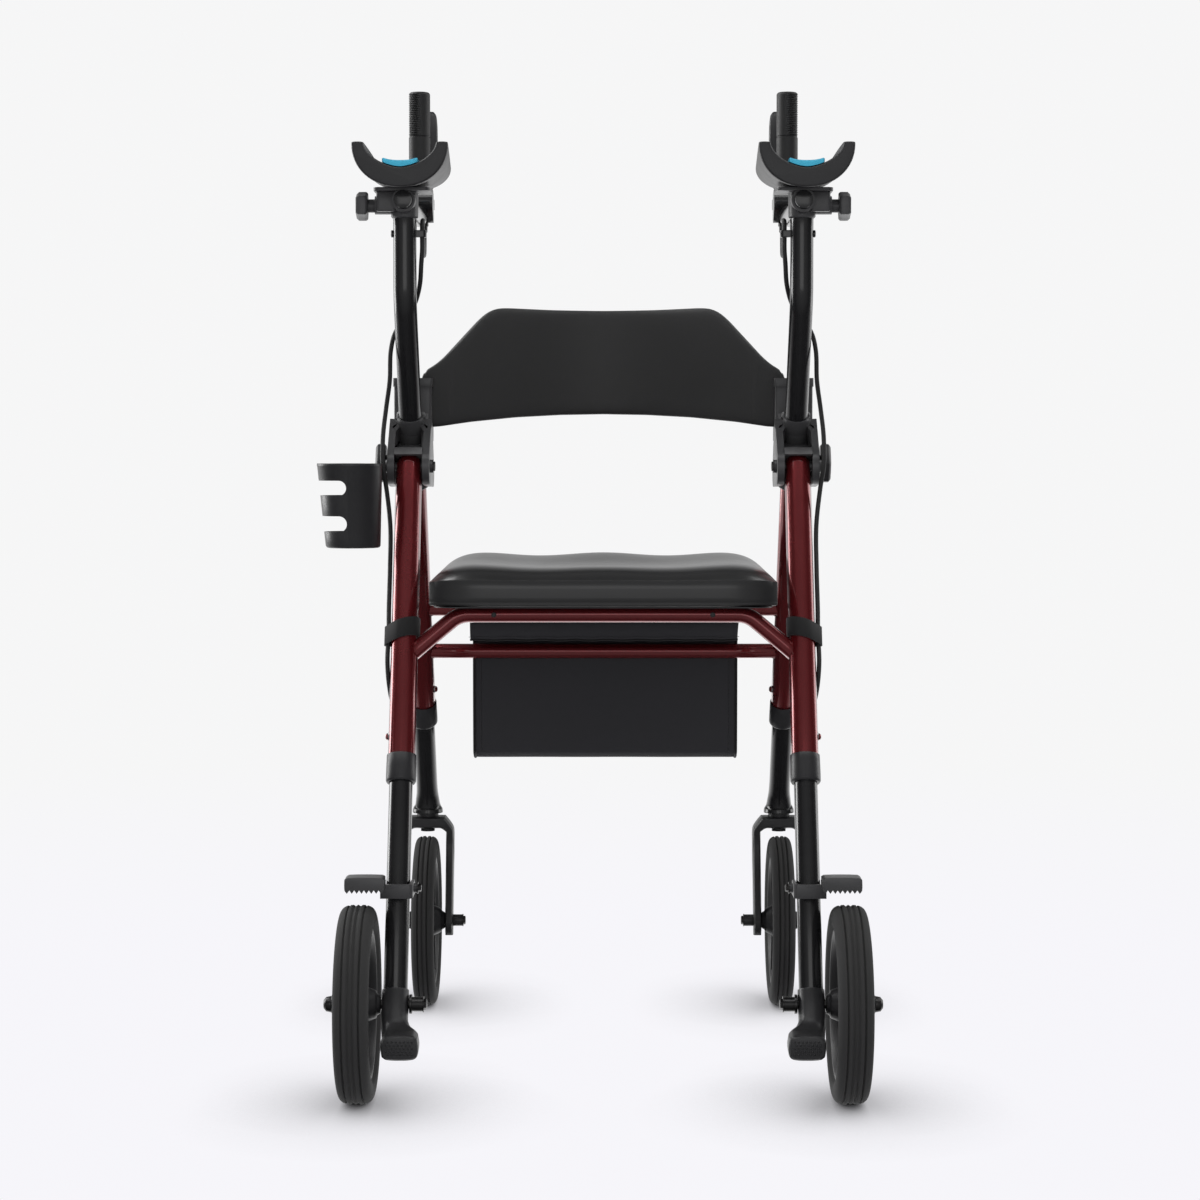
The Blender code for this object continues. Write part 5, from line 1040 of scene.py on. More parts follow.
def add_hub(node, centre, rim_half, boss_inner, boss_outer, spokes, sign):
    """A moulded rim and boss, and ribbed spokes between them."""
    bm = bmesh.new()
    lathe(bm, centre, X_AXIS, [
        (-rim_half, RIM - 0.0040), (-rim_half, RIM), (rim_half, RIM), (rim_half, RIM - 0.0040),
        (rim_half - 0.0025, RIM - 0.0060), (0.0042, RIM - 0.0112), (-0.0042, RIM - 0.0112),
        (-rim_half + 0.0025, RIM - 0.0060),
    ], 96, True)
    lathe(bm, centre, X_AXIS, [
        (boss_inner, 0.0053), (boss_inner, 0.0095), (boss_inner + 0.0030, 0.0110), (boss_inner + 0.0045, 0.0142),
        (-0.0085, 0.0185), (0.0085, 0.0185), (boss_outer - 0.0045, 0.0142), (boss_outer - 0.0030, 0.0110),
        (boss_outer, 0.0095), (boss_outer, 0.0053),
    ], 64, True)
    for vert in bm.verts:
        vert.co.x = MIDLINE + sign * vert.co.x
    bmesh.ops.recalc_face_normals(bm, faces=bm.faces)
    show_form(node, eased_mesh(node, smooth_mesh(node, bm), 0.0006), "hub_black")
    spoke = bmesh.new()
    for half_x, low_half, high_half in SPOKE_PARTS:
        rings = []
        for radius, half in zip(SPOKE_RADII, (low_half, low_half * SPOKE_WAIST, high_half)):
            corners = ((-half_x, -half), (half_x, -half), (half_x, half), (-half_x, half))
            rings.append([centre + FIRST_SPOKE @ Vector((x, y, radius)) for x, y in corners])
        loft(spoke, rings)
    spoke_mesh = eased_mesh(f"{node}_spoke", settled_mesh(f"{node}_spoke", spoke, sign), 0.0008)
    made = grow(f"{node}_spokes", spoke_mesh, "Copies In Turn", "hub_black", {
        "Count": spokes, "Centre": placed(sign, centre), "Turn": (2 * math.pi / spokes, 0, 0)})
    show(f"{node}_spokes", made, "hub_black", BODY_OF[node])


class RollatorWheels(bpy.types.Operator):
    """Makes the grooved tyres and the spoked hubs"""

    bl_idname = "rollator.wheels"
    bl_label = "Wheels"

    def execute(self, context):
        shapes = context.scene.rollator_shapes
        rear = Vector((REAR_TRACK, REAR_WHEEL.y, WHEEL_RADIUS))
        front = Vector((LEG_PLANE, FRONT_WHEEL.y, WHEEL_RADIUS))
        for side, sign in SIDES:
            add_tyre(f"rear_tyre_{side}", rear, REAR_TYRE_WIDTH, shapes.tyre_grooves, shapes.groove_depth, sign)
            add_hub(f"rear_hub_{side}", rear, *REAR_HUB, shapes.spokes, sign)
            add_tyre(f"caster_tyre_{side}", front, FRONT_TYRE_WIDTH, shapes.tyre_grooves - 1, shapes.groove_depth, sign)
            add_hub(f"caster_hub_{side}", front, *FRONT_HUB, shapes.spokes, sign)
        return {"FINISHED"}


# Forearm rests and grips

# The trough's ends, half the length that lies level on its clamp, and the heights that its section follows
TROUGH_REAR = -0.161
TROUGH_FRONT = 0.030
TROUGH_LEVEL = 0.030
TROUGH_TIP = 0.9905
TROUGH_TIP_FALL = 0.0085
TROUGH_HEEL = 0.9447
TROUGH_TOE_RISE = 0.0075
TROUGH_FLOOR = 0.9660
OUTER_POWER = 2.12
INNER_POWER = 1.68
ARC_STEPS = 32
LIP_STEPS = 10
GEL_HALF = 0.0187
GEL_THICK = 0.0082
GEL_WAVE = 0.012
GRIP_RADIUS = 0.0124
GRIP_SIDES = 64
RIB_START = 1.0345
RIB_STEPS = 6
RIB_DEPTH = 0.00110
DOME_STEPS = 7
DOME = 0.0034


def trough_section(y, share):
    """Tip height, outer half width and depth, inner half width and depth of the trough at this place."""
    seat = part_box("trough_clamp_R")[1].z + 0.0003
    rear_edge = POST_Y - TROUGH_LEVEL
    front_edge = POST_Y + TROUGH_LEVEL
    tip = TROUGH_TIP - TROUGH_TIP_FALL * share ** 1.5
    if y < rear_edge:
        bottom = TROUGH_HEEL + (seat - TROUGH_HEEL) * (y - TROUGH_REAR) / (rear_edge - TROUGH_REAR)
    elif y < front_edge:
        bottom = seat
    else:
        bottom = seat + TROUGH_TOE_RISE * (y - front_edge) / (TROUGH_FRONT - front_edge)
    return tip, 0.0508 - 0.0068 * share, tip - bottom, 0.0380 - 0.0034 * share, tip - TROUGH_FLOOR


def end_eased(step, count):
    """A share of a length, with its steps closer towards both ends, and how many steps off an end it is."""
    return 0.5 - 0.5 * math.cos(math.pi * step / count), min(step, count - step)


def trough_arc(y, tip, half, depth, power, back=False):
    """The trough's outer curve, or its inner one on the way back."""
    points = []
    for index in range(ARC_STEPS + 1):
        angle = math.pi * index / ARC_STEPS
        if back:
            angle = math.pi - angle
        c = math.cos(angle)
        out = half * math.copysign(abs(c) ** (2 / power), c)
        points.append(Vector((LEG_PLANE + out, y, tip - depth * abs(math.sin(angle)) ** (2 / power))))
    return points


def trough_lip(y, tip, centre, half, tuck):
    """A lip of the trough, nearly flat with round corners."""
    points = []
    for index in range(1, LIP_STEPS):
        angle = math.pi * index / LIP_STEPS
        rise = (0.0020 - tuck * 0.6) * math.sin(angle) ** 0.4
        points.append(Vector((centre - half * math.cos(angle), y, tip + rise)))
    return points


def add_trough(side, sign):
    """The padded channel for the forearm, round at its lips and at both ends."""
    node = f"trough_shell_{side}"
    low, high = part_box(node)
    rings = []
    count = 48
    for step in range(count + 1):
        share, edge = end_eased(step, count)
        y = low.y + (high.y - low.y) * share
        tuck = 0.0026 * (1 - math.sin(math.pi / 2 * edge / 4)) if edge < 4 else 0.0
        tip, outer, outer_depth, inner, inner_depth = trough_section(y, share)
        lip = (outer - inner) / 2 - tuck
        middle = (outer + inner) / 2
        rings.append(
            trough_arc(y, tip, outer - tuck, outer_depth - tuck, OUTER_POWER)
            + trough_lip(y, tip, LEG_PLANE - middle, lip, tuck)
            + trough_arc(y, tip, inner + tuck, inner_depth + tuck, INNER_POWER, True)
            + trough_lip(y, tip, LEG_PLANE + middle, lip, tuck))
    shell = show_form(node, lofted_mesh(node, rings, sign, 60), "pad_skin")


def add_gel(side, sign):
    """The blue pad in the bottom of the trough, with a low moulded rim."""
    node = f"trough_pad_{side}"
    low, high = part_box(node)
    rings = []
    count = 36
    for step in range(count + 1):
        share, edge = end_eased(step, count)
        y = low.y + (high.y - low.y) * share
        tuck = 0.0022 * (1 - edge / 3) if edge < 3 else 0.0
        tip, _, _, inner, depth = trough_section(y, (y - TROUGH_REAR) / (TROUGH_FRONT - TROUGH_REAR))
        half = GEL_HALF - tuck
        ring = []
        for index in range(17):
            x = -half + 2 * half * index / 16
            drop = depth * (1 - abs(x / inner) ** INNER_POWER) ** (1 / INNER_POWER)
            ring.append(Vector((LEG_PLANE + x, y, tip - drop + 0.0006)))
        for index in range(25):
            x = half - 2 * half * index / 24
            lift = GEL_THICK - tuck - 0.0012 * math.cos(math.pi * x / (2 * half)) + 0.0020 * abs(x / half) ** 3
            if index in (0, 24):
                lift -= 0.0012
            lift += 0.0003 * math.cos(2 * math.pi * y / GEL_WAVE) * (1 - (x / half) ** 2)
            ring.append(Vector((LEG_PLANE + x, y, tip - depth + lift)))
        rings.append(ring)
    pad = show_form(node, lofted_mesh(node, rings, sign, 60), "blue_gel")


def grip_heights(foot, top, ribs):
    """Where the grip's rings lie, each with its change of radius, or None where ribs give it."""
    rib_end = top - DOME
    heights = [(foot, -0.0004), (foot + 0.0008, 0.0006), (foot + 0.0030, 0.0008), (foot + 0.0040, 0.0)]
    z = foot + 0.0060
    while z < RIB_START - 0.0030:
        heights.append((z, 0.0))
        z += 0.0040
    heights += [(RIB_START - 0.0028, 0.0), (RIB_START - 0.0022, -0.0008), (RIB_START - 0.0012, -0.0008),
                (RIB_START - 0.0006, 0.0)]
    pitch = (rib_end - RIB_START) / ribs
    for step in range(ribs * RIB_STEPS + 1):
        heights.append((RIB_START + pitch * step / RIB_STEPS, None))
    for turn in range(1, DOME_STEPS + 1):
        angle = math.pi / 2 * turn / DOME_STEPS
        heights.append((rib_end + (top - rib_end) * math.sin(angle), -DOME * (1 - math.cos(angle))))
    return heights, pitch


def add_grip(side, sign, ribs):
    """The hand grip: fine ribs round its outer side, a plain palm side and a collar at its foot."""
    node = f"grip_{side}"
    low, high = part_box(node)
    heights, pitch = grip_heights(low.z, high.z - 0.0015, ribs)
    rings = []
    for z, change in heights:
        ring = []
        for index in range(GRIP_SIDES):
            angle = 2 * math.pi * index / GRIP_SIDES
            outward = math.cos(angle)
            shift = change
            if change is None:
                wave = 0.5 - 0.5 * math.cos(2 * math.pi * (z - RIB_START) / pitch)
                hold = min(max((outward + 0.25) / 0.5, 0.0), 1.0)
                shift = -RIB_DEPTH * (1 - wave) * hold
            reach = GRIP_RADIUS + shift
            ring.append(Vector((LEG_PLANE + reach * outward, GRIP_Y + reach * math.sin(angle), z)))
        rings.append(ring)
    show_form(node, lofted_mesh(node, rings, sign, 50), "soft_rubber")


class RollatorArmRests(bpy.types.Operator):
    """Makes the padded troughs, their gel pads and the grips"""

    bl_idname = "rollator.arm_rests"
    bl_label = "Arm Rests"

    def execute(self, context):
        for side, sign in SIDES:
            add_trough(side, sign)
            add_gel(side, sign)
            add_grip(side, sign, context.scene.rollator_shapes.grip_ribs)
        return {"FINISHED"}


# Seat and backrest

SKIRT = 0.0086
# The skirt's edge as (height, share of the half length)
SKIRT_EDGE = (
    (0.0008, 0.990), (0.0022, 0.9985), (0.0034, 0.9990), (0.0040, 0.9955), (0.0048, 0.9955), (0.0056, 0.9992),
    (0.0100, 1.0), (0.0190, 1.0))
SKIRT_DRAW = 0.985
SEAT_STEPS = 96
SEAT_ROWS = 64
SEAT_END_PULL = 0.16
SEAT_BAND = 0.0165
SEAT_CROWN = 0.0004
SEAT_FALL = 0.0100
SEAT_CREST = 0.0022
SEAT_CREST_SPAN = 0.78
SEAT_DISH = 0.0050
BACK_Y = 0.048
BACK_THICK = 0.0054
BACK_STEPS = 120
# The backrest's edges as (distance from the middle, height). The last of each ends at the panel's end.
BACK_TOP = (
    (0.0, 0.8290), (0.060, 0.8294), (0.108, 0.8305), (0.120, 0.8298), (0.130, 0.8255), (0.140, 0.8165),
    (0.1685, 0.7850), (0.1794, 0.7732), (0.1890, 0.7652), (0.1980, 0.7600), (0.2020, 0.7560))
BACK_TOP_END = 0.7480
BACK_BOTTOM = ((0.0, 0.7106), (0.050, 0.7096), (0.100, 0.7066), (0.150, 0.7012), (0.185, 0.6958))
BACK_BOTTOM_END = 0.6950


def seat_height(u, v, bottom, top):
    """Height of the seat's top at u across and v from rear to front, both from -1 to 1."""
    rear_band = bottom + SEAT_BAND
    ends = 1 - abs(u) ** 12
    rear = 1 - 0.80 * max(-v, 0.0) ** 9
    front = 1 - 0.60 * max(v, 0.0) ** 8
    edge = ends * rear * front
    fall = SEAT_FALL * (1 - v) / 2 * (1 - 0.25 * abs(u))
    crest = SEAT_CREST * math.cos(2 * math.pi * abs(u) / SEAT_CREST_SPAN) * (0.5 + 0.5 * max(v, 0.0))
    dish = SEAT_DISH * math.exp(-((v + 0.1) ** 2) / 0.25) * (1 - u * u)
    return rear_band + (top + SEAT_CROWN - rear_band) * edge + (crest - dish - fall) * edge


def add_seat_base():
    """The seat's ribbed base, drawn up inside the cushion's skirt."""
    node = "seat_pan"
    mesh = refined_mesh(node, bpy.context.scene.rollator_shapes.arc_tolerance)
    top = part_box("seat_cushion")[0].z - SKIRT - 0.0003
    for vert in mesh.vertices:
        vert.co.z = min(vert.co.z, top)
    show_form(node, eased_mesh(node, mesh, 0.0005), "moulded_black")


def add_seat():
    """The moulded seat: a dished top with a crest in its middle, and a skirt round its underside."""
    node = "seat_cushion"
    low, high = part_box(node)
    half_width = (high.x - low.x) / 2
    half_length = (high.y - low.y) / 2
    middle_y = (high.y + low.y) / 2
    bottom = low.z - SKIRT
    rings = []
    for i in range(SEAT_STEPS + 1):
        u = math.sin(math.pi / 2 * (-1 + 2 * i / SEAT_STEPS))
        x = half_width * u
        length = half_length * (1 - SEAT_END_PULL * abs(u) ** 9)
        ring = []
        for step in range(9):
            v = -0.962 + 1.924 * step / 8
            ring.append(Vector((x * SKIRT_DRAW, middle_y + length * v, bottom)))
        for lift, out in SKIRT_EDGE:
            ring.append(Vector((x, middle_y + length * out, bottom + lift)))
        for step in range(SEAT_ROWS + 1):
            v = math.sin(math.pi / 2 * (1 - 2 * step / SEAT_ROWS))
            ring.append(Vector((x, middle_y + length * v * 0.9995, seat_height(u, v, low.z, high.z))))
        for lift, out in reversed(SKIRT_EDGE):
            ring.append(Vector((x, middle_y - length * out, bottom + lift)))
        rings.append(ring)
    seat = show_form(node, lofted_mesh(node, rings, 1, 60), "seat_skin")


def backrest_edge(x, half, knots):
    """Height of an edge of the backrest at x, straight between its knots and eased at each."""
    height = 0.0
    for shift, weight in ((-0.004, 0.25), (0.0, 0.5), (0.004, 0.25)):
        place = min(abs(abs(x) + shift), half)
        for (x0, z0), (x1, z1) in zip(knots, knots[1:]):
            if place <= x1:
                height += weight * (z0 + (z1 - z0) * ((place - x0) / (x1 - x0)))
                break
    return height


def add_backrest():
    """A bowed foam panel, its ends in the brackets' pockets."""
    node = "backrest"
    low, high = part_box(node)
    half = (high.x - low.x) / 2
    bow_depth = high.y - 0.0055 - BACK_Y
    top_knots = BACK_TOP + ((half, BACK_TOP_END),)
    bottom_knots = BACK_BOTTOM + ((half, BACK_BOTTOM_END),)
    rings = []
    for i in range(BACK_STEPS + 1):
        u = math.sin(math.pi / 2 * (-1 + 2 * i / BACK_STEPS))
        x = half * u
        bow = bow_depth * (1 - u * u) ** 2
        slope = bow_depth * -4 * u * (1 - u * u) / half
        normal = Vector((-slope, 1, 0)).normalized()
        top = backrest_edge(x, half, top_knots)
        bottom = backrest_edge(x, half, bottom_knots)
        centre = Vector((x, BACK_Y + bow, (top + bottom) / 2))
        swell = 1.0 + 0.35 * (1 - u ** 4) if x * x < 0.03 else 1.0
        ring = []
        for index in range(40):
            angle = 2 * math.pi * index / 40
            c = math.cos(angle)
            s = math.sin(angle)
            out = math.copysign(abs(c) ** 0.55, c) * BACK_THICK * swell
            up = math.copysign(abs(s) ** 0.22, s) * (top - bottom) / 2
            ring.append(centre + normal * out + Z_AXIS * up)
        rings.append(ring)
    rest = show_form(node, lofted_mesh(node, rings, 1, 70), "backrest_foam")


class RollatorSeating(bpy.types.Operator):
    """Makes the seat and the backrest"""

    bl_idname = "rollator.seating"
    bl_label = "Seat And Backrest"

    def execute(self, context):
        add_seat_base()
        add_seat()
        add_backrest()
        return {"FINISHED"}


# Bag

BAG_HALF = 0.1532
BAG_CENTRE = MIDLINE + 0.0022
BAG_BOTTOM = 0.3064
BAG_DEPTH = 0.1050
BAG_COLUMNS = 40
CURVE_STEPS = 4
NEAR_SHARE = 0.45
BELLY = 0.0022
RIPPLE = 0.0007
CLOTH = 0.0009
WEBBING = 0.0012
GUSSET_COLUMNS = 12
GUSSET_TUCK = 0.0055
FLAP_HALF = BAG_HALF + 0.0030
FLAP_CLOTH = 0.0010
# The flap's path from the far side of the seat bar to its near edge, as (ahead of the bar, height)
FLAP_PATH = (
    (0.1150, 0.4520), (0.0950, 0.4655), (0.0600, 0.4720), (0.0300, 0.4745), (0.0130, 0.4720), (0.0118, 0.4620),
    (0.0205, 0.4485))
STRAP_AT = 0.070
STRAP_HALF = 0.012
STRAP_TURNS = 14


def sheet_mesh(name, rows):
    """An open sheet through rows of points, with a map in metres and no thickness."""
    bm = bmesh.new()
    layer = bm.loops.layers.uv.new("UVMap")
    along = [0.0]
    for before, after in zip(rows, rows[1:]):
        middle = len(before) // 2
        along.append(along[-1] + (after[middle] - before[middle]).length)
    grid = []
    maps = {}
    for row, v in zip(rows, along):
        line = [bm.verts.new(point) for point in row]
        u = 0.0
        for index, vert in enumerate(line):
            if index:
                u += (row[index] - row[index - 1]).length
            maps[vert] = (u, v)
        grid.append(line)
    for low, high in zip(grid, grid[1:]):
        for index in range(len(low) - 1):
            face = bm.faces.new([low[index], low[index + 1], high[index + 1], high[index]])
            for loop in face.loops:
                loop[layer].uv = maps[loop.vert]
    return smooth_mesh(name, bm)


def show_sheet(name, rows, thickness, finish, replaces=()):
    """Puts a sheet of the bag in the scene, given its thickness and one round of subdivision."""
    item = in_scene(name, sheet_mesh(name, rows))
    wall = item.modifiers.new("wall", "SOLIDIFY")
    wall.thickness = thickness
    wall.offset = 0.0
    fine = item.modifiers.new("fine", "SUBSURF")
    fine.levels = 1
    fine.render_levels = 1
    return show(name, plain_mesh(item), finish, BODY_OF["bag"], replaces)


def bag_loop():
    """The bag's outline seen from the side, as (y, z): down the near face, under, up and over to a flap."""
    near = LOWER_BAR.y + CROSS_TUBE + 0.0030
    far = near + BAG_DEPTH
    return [
        (SEAT_BAR.y + 0.0150, 0.4700), (near - 0.0060, 0.4550), (near, 0.4450), (near + 0.0004, 0.4000),
        (near + 0.0012, 0.3550), (near + 0.0030, 0.3200), (near + 0.0080, 0.3120), (near + 0.0250, BAG_BOTTOM),
        (near + 0.0530, BAG_BOTTOM + 0.0004), (far - 0.0240, BAG_BOTTOM), (far - 0.0070, 0.3135),
        (far - 0.0010, 0.3250), (far, 0.3600), (far - 0.0010, 0.4050), (far - 0.0060, 0.4390), (far - 0.0160, 0.4560),
    ]


def spline_through(points, steps):
    """Points on a smooth curve through the given ones."""
    ends = [2 * points[0] - points[1]] + points + [2 * points[-1] - points[-2]]
    made = []
    for p0, p1, p2, p3 in zip(ends, ends[1:], ends[2:], ends[3:]):
        for step in range(steps):
            t = step / steps
            made.append(
                0.5 * ((2 * p1) + (p2 - p0) * t + (2 * p0 - 5 * p1 + 4 * p2 - p3) * t ** 2
                       + (3 * p1 - p0 - 3 * p2 + p3) * t ** 3))
    made.append(points[-1])
    return made


def line_length(points):
    return sum((b - a).length for a, b in zip(points, points[1:]))


def bag_rows():
    """Rows of points across the panel, from its near top edge round under it to the far one, and their run."""
    outline = spline_through([Vector((0, y, z)) for y, z in bag_loop()], CURVE_STEPS)
    total = line_length(outline)
    walked = 0.0
    rows = []
    for index, point in enumerate(outline):
        if index:
            walked += (point - outline[index - 1]).length
        share = walked / total
        row = []
        for step in range(BAG_COLUMNS + 1):
            u = -1 + 2 * step / BAG_COLUMNS
            belly = BELLY * (1 - u * u) * math.sin(math.pi * min(share / NEAR_SHARE, 1.0))
            ripple = RIPPLE * math.sin(9.0 * u + 14.0 * share) * (1 - abs(u) ** 6) * math.sin(math.pi * share)
            row.append(Vector((BAG_CENTRE + BAG_HALF * u, point.y - belly * 0.6 + ripple, point.z)))
        rows.append(row)
    return rows, total


def add_gusset(side, sign, rows):
    """A side of the bag between the panel's two edges, tucked in along its middle."""
    edge = [row[-1 if sign > 0 else 0] for row in rows]
    strips = []
    for index in range(len(edge) // 2):
        strip = []
        for step in range(GUSSET_COLUMNS + 1):
            share = step / GUSSET_COLUMNS
            point = edge[index].lerp(edge[-1 - index], share)
            point.x -= sign * GUSSET_TUCK * math.sin(math.pi * share) * min(1.0, index / 6)
            strip.append(point)
        strips.append(strip)
    gusset = show_sheet(f"bag_gusset_{side}", strips, CLOTH, "bag_cloth")


def add_flap():
    """The flap over the bag's mouth. Its rows of points are handed back."""
    path = spline_through([Vector((0, SEAT_BAR.y + ahead, z)) for ahead, z in FLAP_PATH], CURVE_STEPS)
    rows = []
    for point in path:
        row = []
        for step in range(BAG_COLUMNS + 1):
            x = BAG_CENTRE - 0.0015 + FLAP_HALF * (-1 + 2 * step / BAG_COLUMNS)
            row.append(Vector((x, point.y, point.z + 0.0005 * math.sin(step * 1.3))))
        rows.append(row)
    flap = show_sheet("bag_flap", rows, FLAP_CLOTH, "bag_cloth")
    return rows


def add_binding(rows, flap_rows):
    """The bound edges of the panel's sides and of the flap's two ends."""
    bm = bmesh.new()
    for sign, column in ((-1, 0), (1, -1)):
        loft(bm, tube_rings([row[column] + X_AXIS * (sign * 0.0006) for row in rows], 0.0017, 8))
    for line in (flap_rows[0], flap_rows[-1]):
        loft(bm, tube_rings(line, 0.0014, 8))
    bmesh.ops.recalc_face_normals(bm, faces=bm.faces)
    show("bag_binding", smooth_mesh("bag_binding", bm), "strap_webbing", BODY_OF["bag"])


def add_bag_strap(side, sign):
    """A strap that hangs the bag from the front seat bar."""
    reach = CROSS_TUBE + 0.0014
    loop = [(0.0170, 0.4560), (0.0120, 0.4680)]
    for turn in range(STRAP_TURNS + 1):
        angle = math.radians(-70 + 320 * turn / STRAP_TURNS)
        loop.append((reach * math.cos(angle), SEAT_BAR.z + reach * math.sin(angle)))
    loop.append((0.0150, 0.4700))
    centre = MIDLINE + sign * STRAP_AT
    columns = [centre + STRAP_HALF * (-1 + step / 4) for step in range(9)]
    rows = [[Vector((x, SEAT_BAR.y + ahead, z)) for x in columns] for ahead, z in loop]
    show_sheet(f"bag_strap_{side}", rows, WEBBING, "strap_webbing")


def add_bag(stitch):
    """The bag: one panel round its near face, bottom and far face, two gussets, a flap and bound edges."""
    rows, length = bag_rows()
    panel = show_sheet("bag_panel", rows, CLOTH, "bag_cloth", ["bag"])
    for side, sign in SIDES:
        add_gusset(side, sign, rows)
    flap_rows = add_flap()
    add_binding(rows, flap_rows)
    lines = [[row[column] - Y_AXIS * 0.0008 for row in rows[8:26]] for column in (1, BAG_COLUMNS - 1)]
    lines.append([point - Y_AXIS * 0.0012 for point in flap_rows[-2]])
    add_stitches("bag_stitches", lines, stitch, BODY_OF["bag"])
    for side, sign in SIDES:
        add_bag_strap(side, sign)


class RollatorBag(bpy.types.Operator):
    """Makes the bag under the seat"""

    bl_idname = "rollator.bag"
    bl_label = "Bag"

    def execute(self, context):
        add_bag(context.scene.rollator_shapes.stitch)
        return {"FINISHED"}


# Brake cables

def cable_curve(route, spacing):
    """Points on a smooth curve through the route's own points, closer where the route turns tightly."""
    points = [2 * route[0] - route[1]] + route + [2 * route[-1] - route[-2]]
    smooth = []
    starts = []
    for p0, p1, p2, p3 in zip(points, points[1:], points[2:], points[3:]):
        starts.append(len(smooth))
        lengths = [max((b - a).length, 1e-6) ** 0.5 for a, b in ((p0, p1), (p1, p2), (p2, p3))]
        start_pull = (p1 - p0) / lengths[0] - (p2 - p0) / (lengths[0] + lengths[1]) + (p2 - p1) / lengths[1]
        end_pull = (p2 - p1) / lengths[1] - (p3 - p1) / (lengths[1] + lengths[2]) + (p3 - p2) / lengths[2]
        start_pull *= lengths[1]
        end_pull *= lengths[1]
        steps = max(2, round((p2 - p1).length / spacing))
        for step in range(steps):
            t = step / steps
            smooth.append(
                p1 * (2 * t**3 - 3 * t**2 + 1)
                + start_pull * (t**3 - 2 * t**2 + t)
                + p2 * (3 * t**2 - 2 * t**3)
                + end_pull * (t**3 - t**2)
            )
    starts.append(len(smooth))
    smooth.append(route[-1])
    return smooth, starts


def cable_route():
    """From the lever's housing through the guide on the post, round the post and down the rear leg to its stop."""
    gap = 0.0003
    clip = SLIDE_TUBE + 0.0062
    hug = FRAME_TUBE + CABLE + 0.0008
    grip = Vector((LEG_PLANE, GRIP_Y, POST_TOP + 0.0082))
    guide = Vector((LEG_PLANE, POST_Y, POST_TOP - 0.0238))
    bend = Vector((LEG_PLANE, POST_Y, POST_BEND_Z))
    pin = Vector((LEG_PLANE, POST_Y, FOLD_PIN.z))
    return [
        grip + Vector((-0.0051, 0.0060, -gap)),
        grip + Vector((-0.0051, 0.0060, -0.0080)),
        grip + Vector((-0.0055, -0.0020, -0.0237)),
        grip + Vector((-0.0075, -0.0390, -0.0387)),
        grip + Vector((-0.0105, -0.1040, -0.0437)),
        guide + Vector((-0.0145, 0.0874, -0.0027)),
        guide + Vector((-0.0170, 0.0330, 0.0103)),
        guide + Vector((-clip, 0.0130, 0.0153)),
        guide + Vector((-clip, 0.0025, 0.0128)),
        guide + Vector((-clip, 0.0000, 0.0050)),
        guide + Vector((-clip, 0.0000, -0.0050)),
        guide + Vector((-clip, 0.0000, -0.0167)),
        guide + Vector((-0.0175, 0.0015, -0.0317)),
        bend + Vector((-0.0155, 0.0080, 0.0160)),
        bend + Vector((-0.0085, 0.0230, -0.0050)),
        bend + Vector((0.0015, 0.0350, -0.0190)),
        bend + Vector((0.0131, 0.0380, -0.0340)),
        bend + Vector((0.0179, 0.0330, -0.0540)),
        bend + Vector((0.0195, 0.0360, -0.0870)),
        bend + Vector((0.0240, 0.0420, -0.1170)),
        pin + Vector((0.0270, 0.0360, 0.0333)),
        pin + Vector((0.0267, 0.0290, 0.0003)),
        rear_point(FOLD_ALONG - 0.0280, hug + 0.0060, -0.0120),
        rear_point(FOLD_ALONG - 0.0700, hug + 0.0010, -0.0010),
        rear_point(BAND_ALONG + 0.0735, hug, 0.0),
        rear_point(BAND_ALONG + 0.0235, hug, 0.0),
        rear_point(BAND_ALONG, FRAME_TUBE + CABLE + gap, 0.0),
        rear_point(BAND_ALONG - 0.0365, hug, 0.0010),
        rear_point(0.3400, 0.0145, 0.0120),
        rear_point(0.3100, 0.0060, 0.0185),
        rear_point(0.2750, 0.0010, 0.0196),
        rear_point(0.2350, 0.0, 0.0196),
        rear_point(0.2050, 0.0, 0.0172),
        rear_point(BRAKE_ALONG + 0.0540 + gap, 0.0, 0.0165),
    ]


# Each span's name, its first and last route points, the bodies it joins and the points it bends between
CABLE_SPANS = (
    ("upper", 0, 10, "reach", "arm", 1, 6),
    ("post", 10, 18, "arm", "front_frame", 12, 18),
    ("fold", 18, 25, "front_frame", "rear_frame", 20, 25),
    ("leg", 25, 33, "rear_frame", "rear_lower", 27, 31),
)
CABLE_SPACING = 0.004
CABLE_SIDES = 12
ADJUSTER = (
    (-0.0010, 0.0030), (0.0000, 0.0046), (0.0034, 0.0046), (0.0040, 0.0036), (0.0100, 0.0034), (0.0112, 0.0027))
FERRULE = ((-0.0002, 0.0028), (0.0000, 0.0036), (0.0073, 0.0034), (0.0085, 0.0027))


def add_cable(side, sign):
    """The brake cable, laid in four spans."""
    route = cable_route()
    points, starts = cable_curve(route, CABLE_SPACING)
    node = f"brake_cable_{side}"
    for label, first, last, body_a, body_b, bend_from, bend_to in CABLE_SPANS:
        rings = tube_rings(points[starts[first]:starts[last] + 1], CABLE, CABLE_SIDES)
        mesh = lofted_mesh(f"{node}_{label}", rings, sign, 60)
        span = show(f"{node}_{label}", mesh, "soft_rubber", None)
        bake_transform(span)
        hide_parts(node)


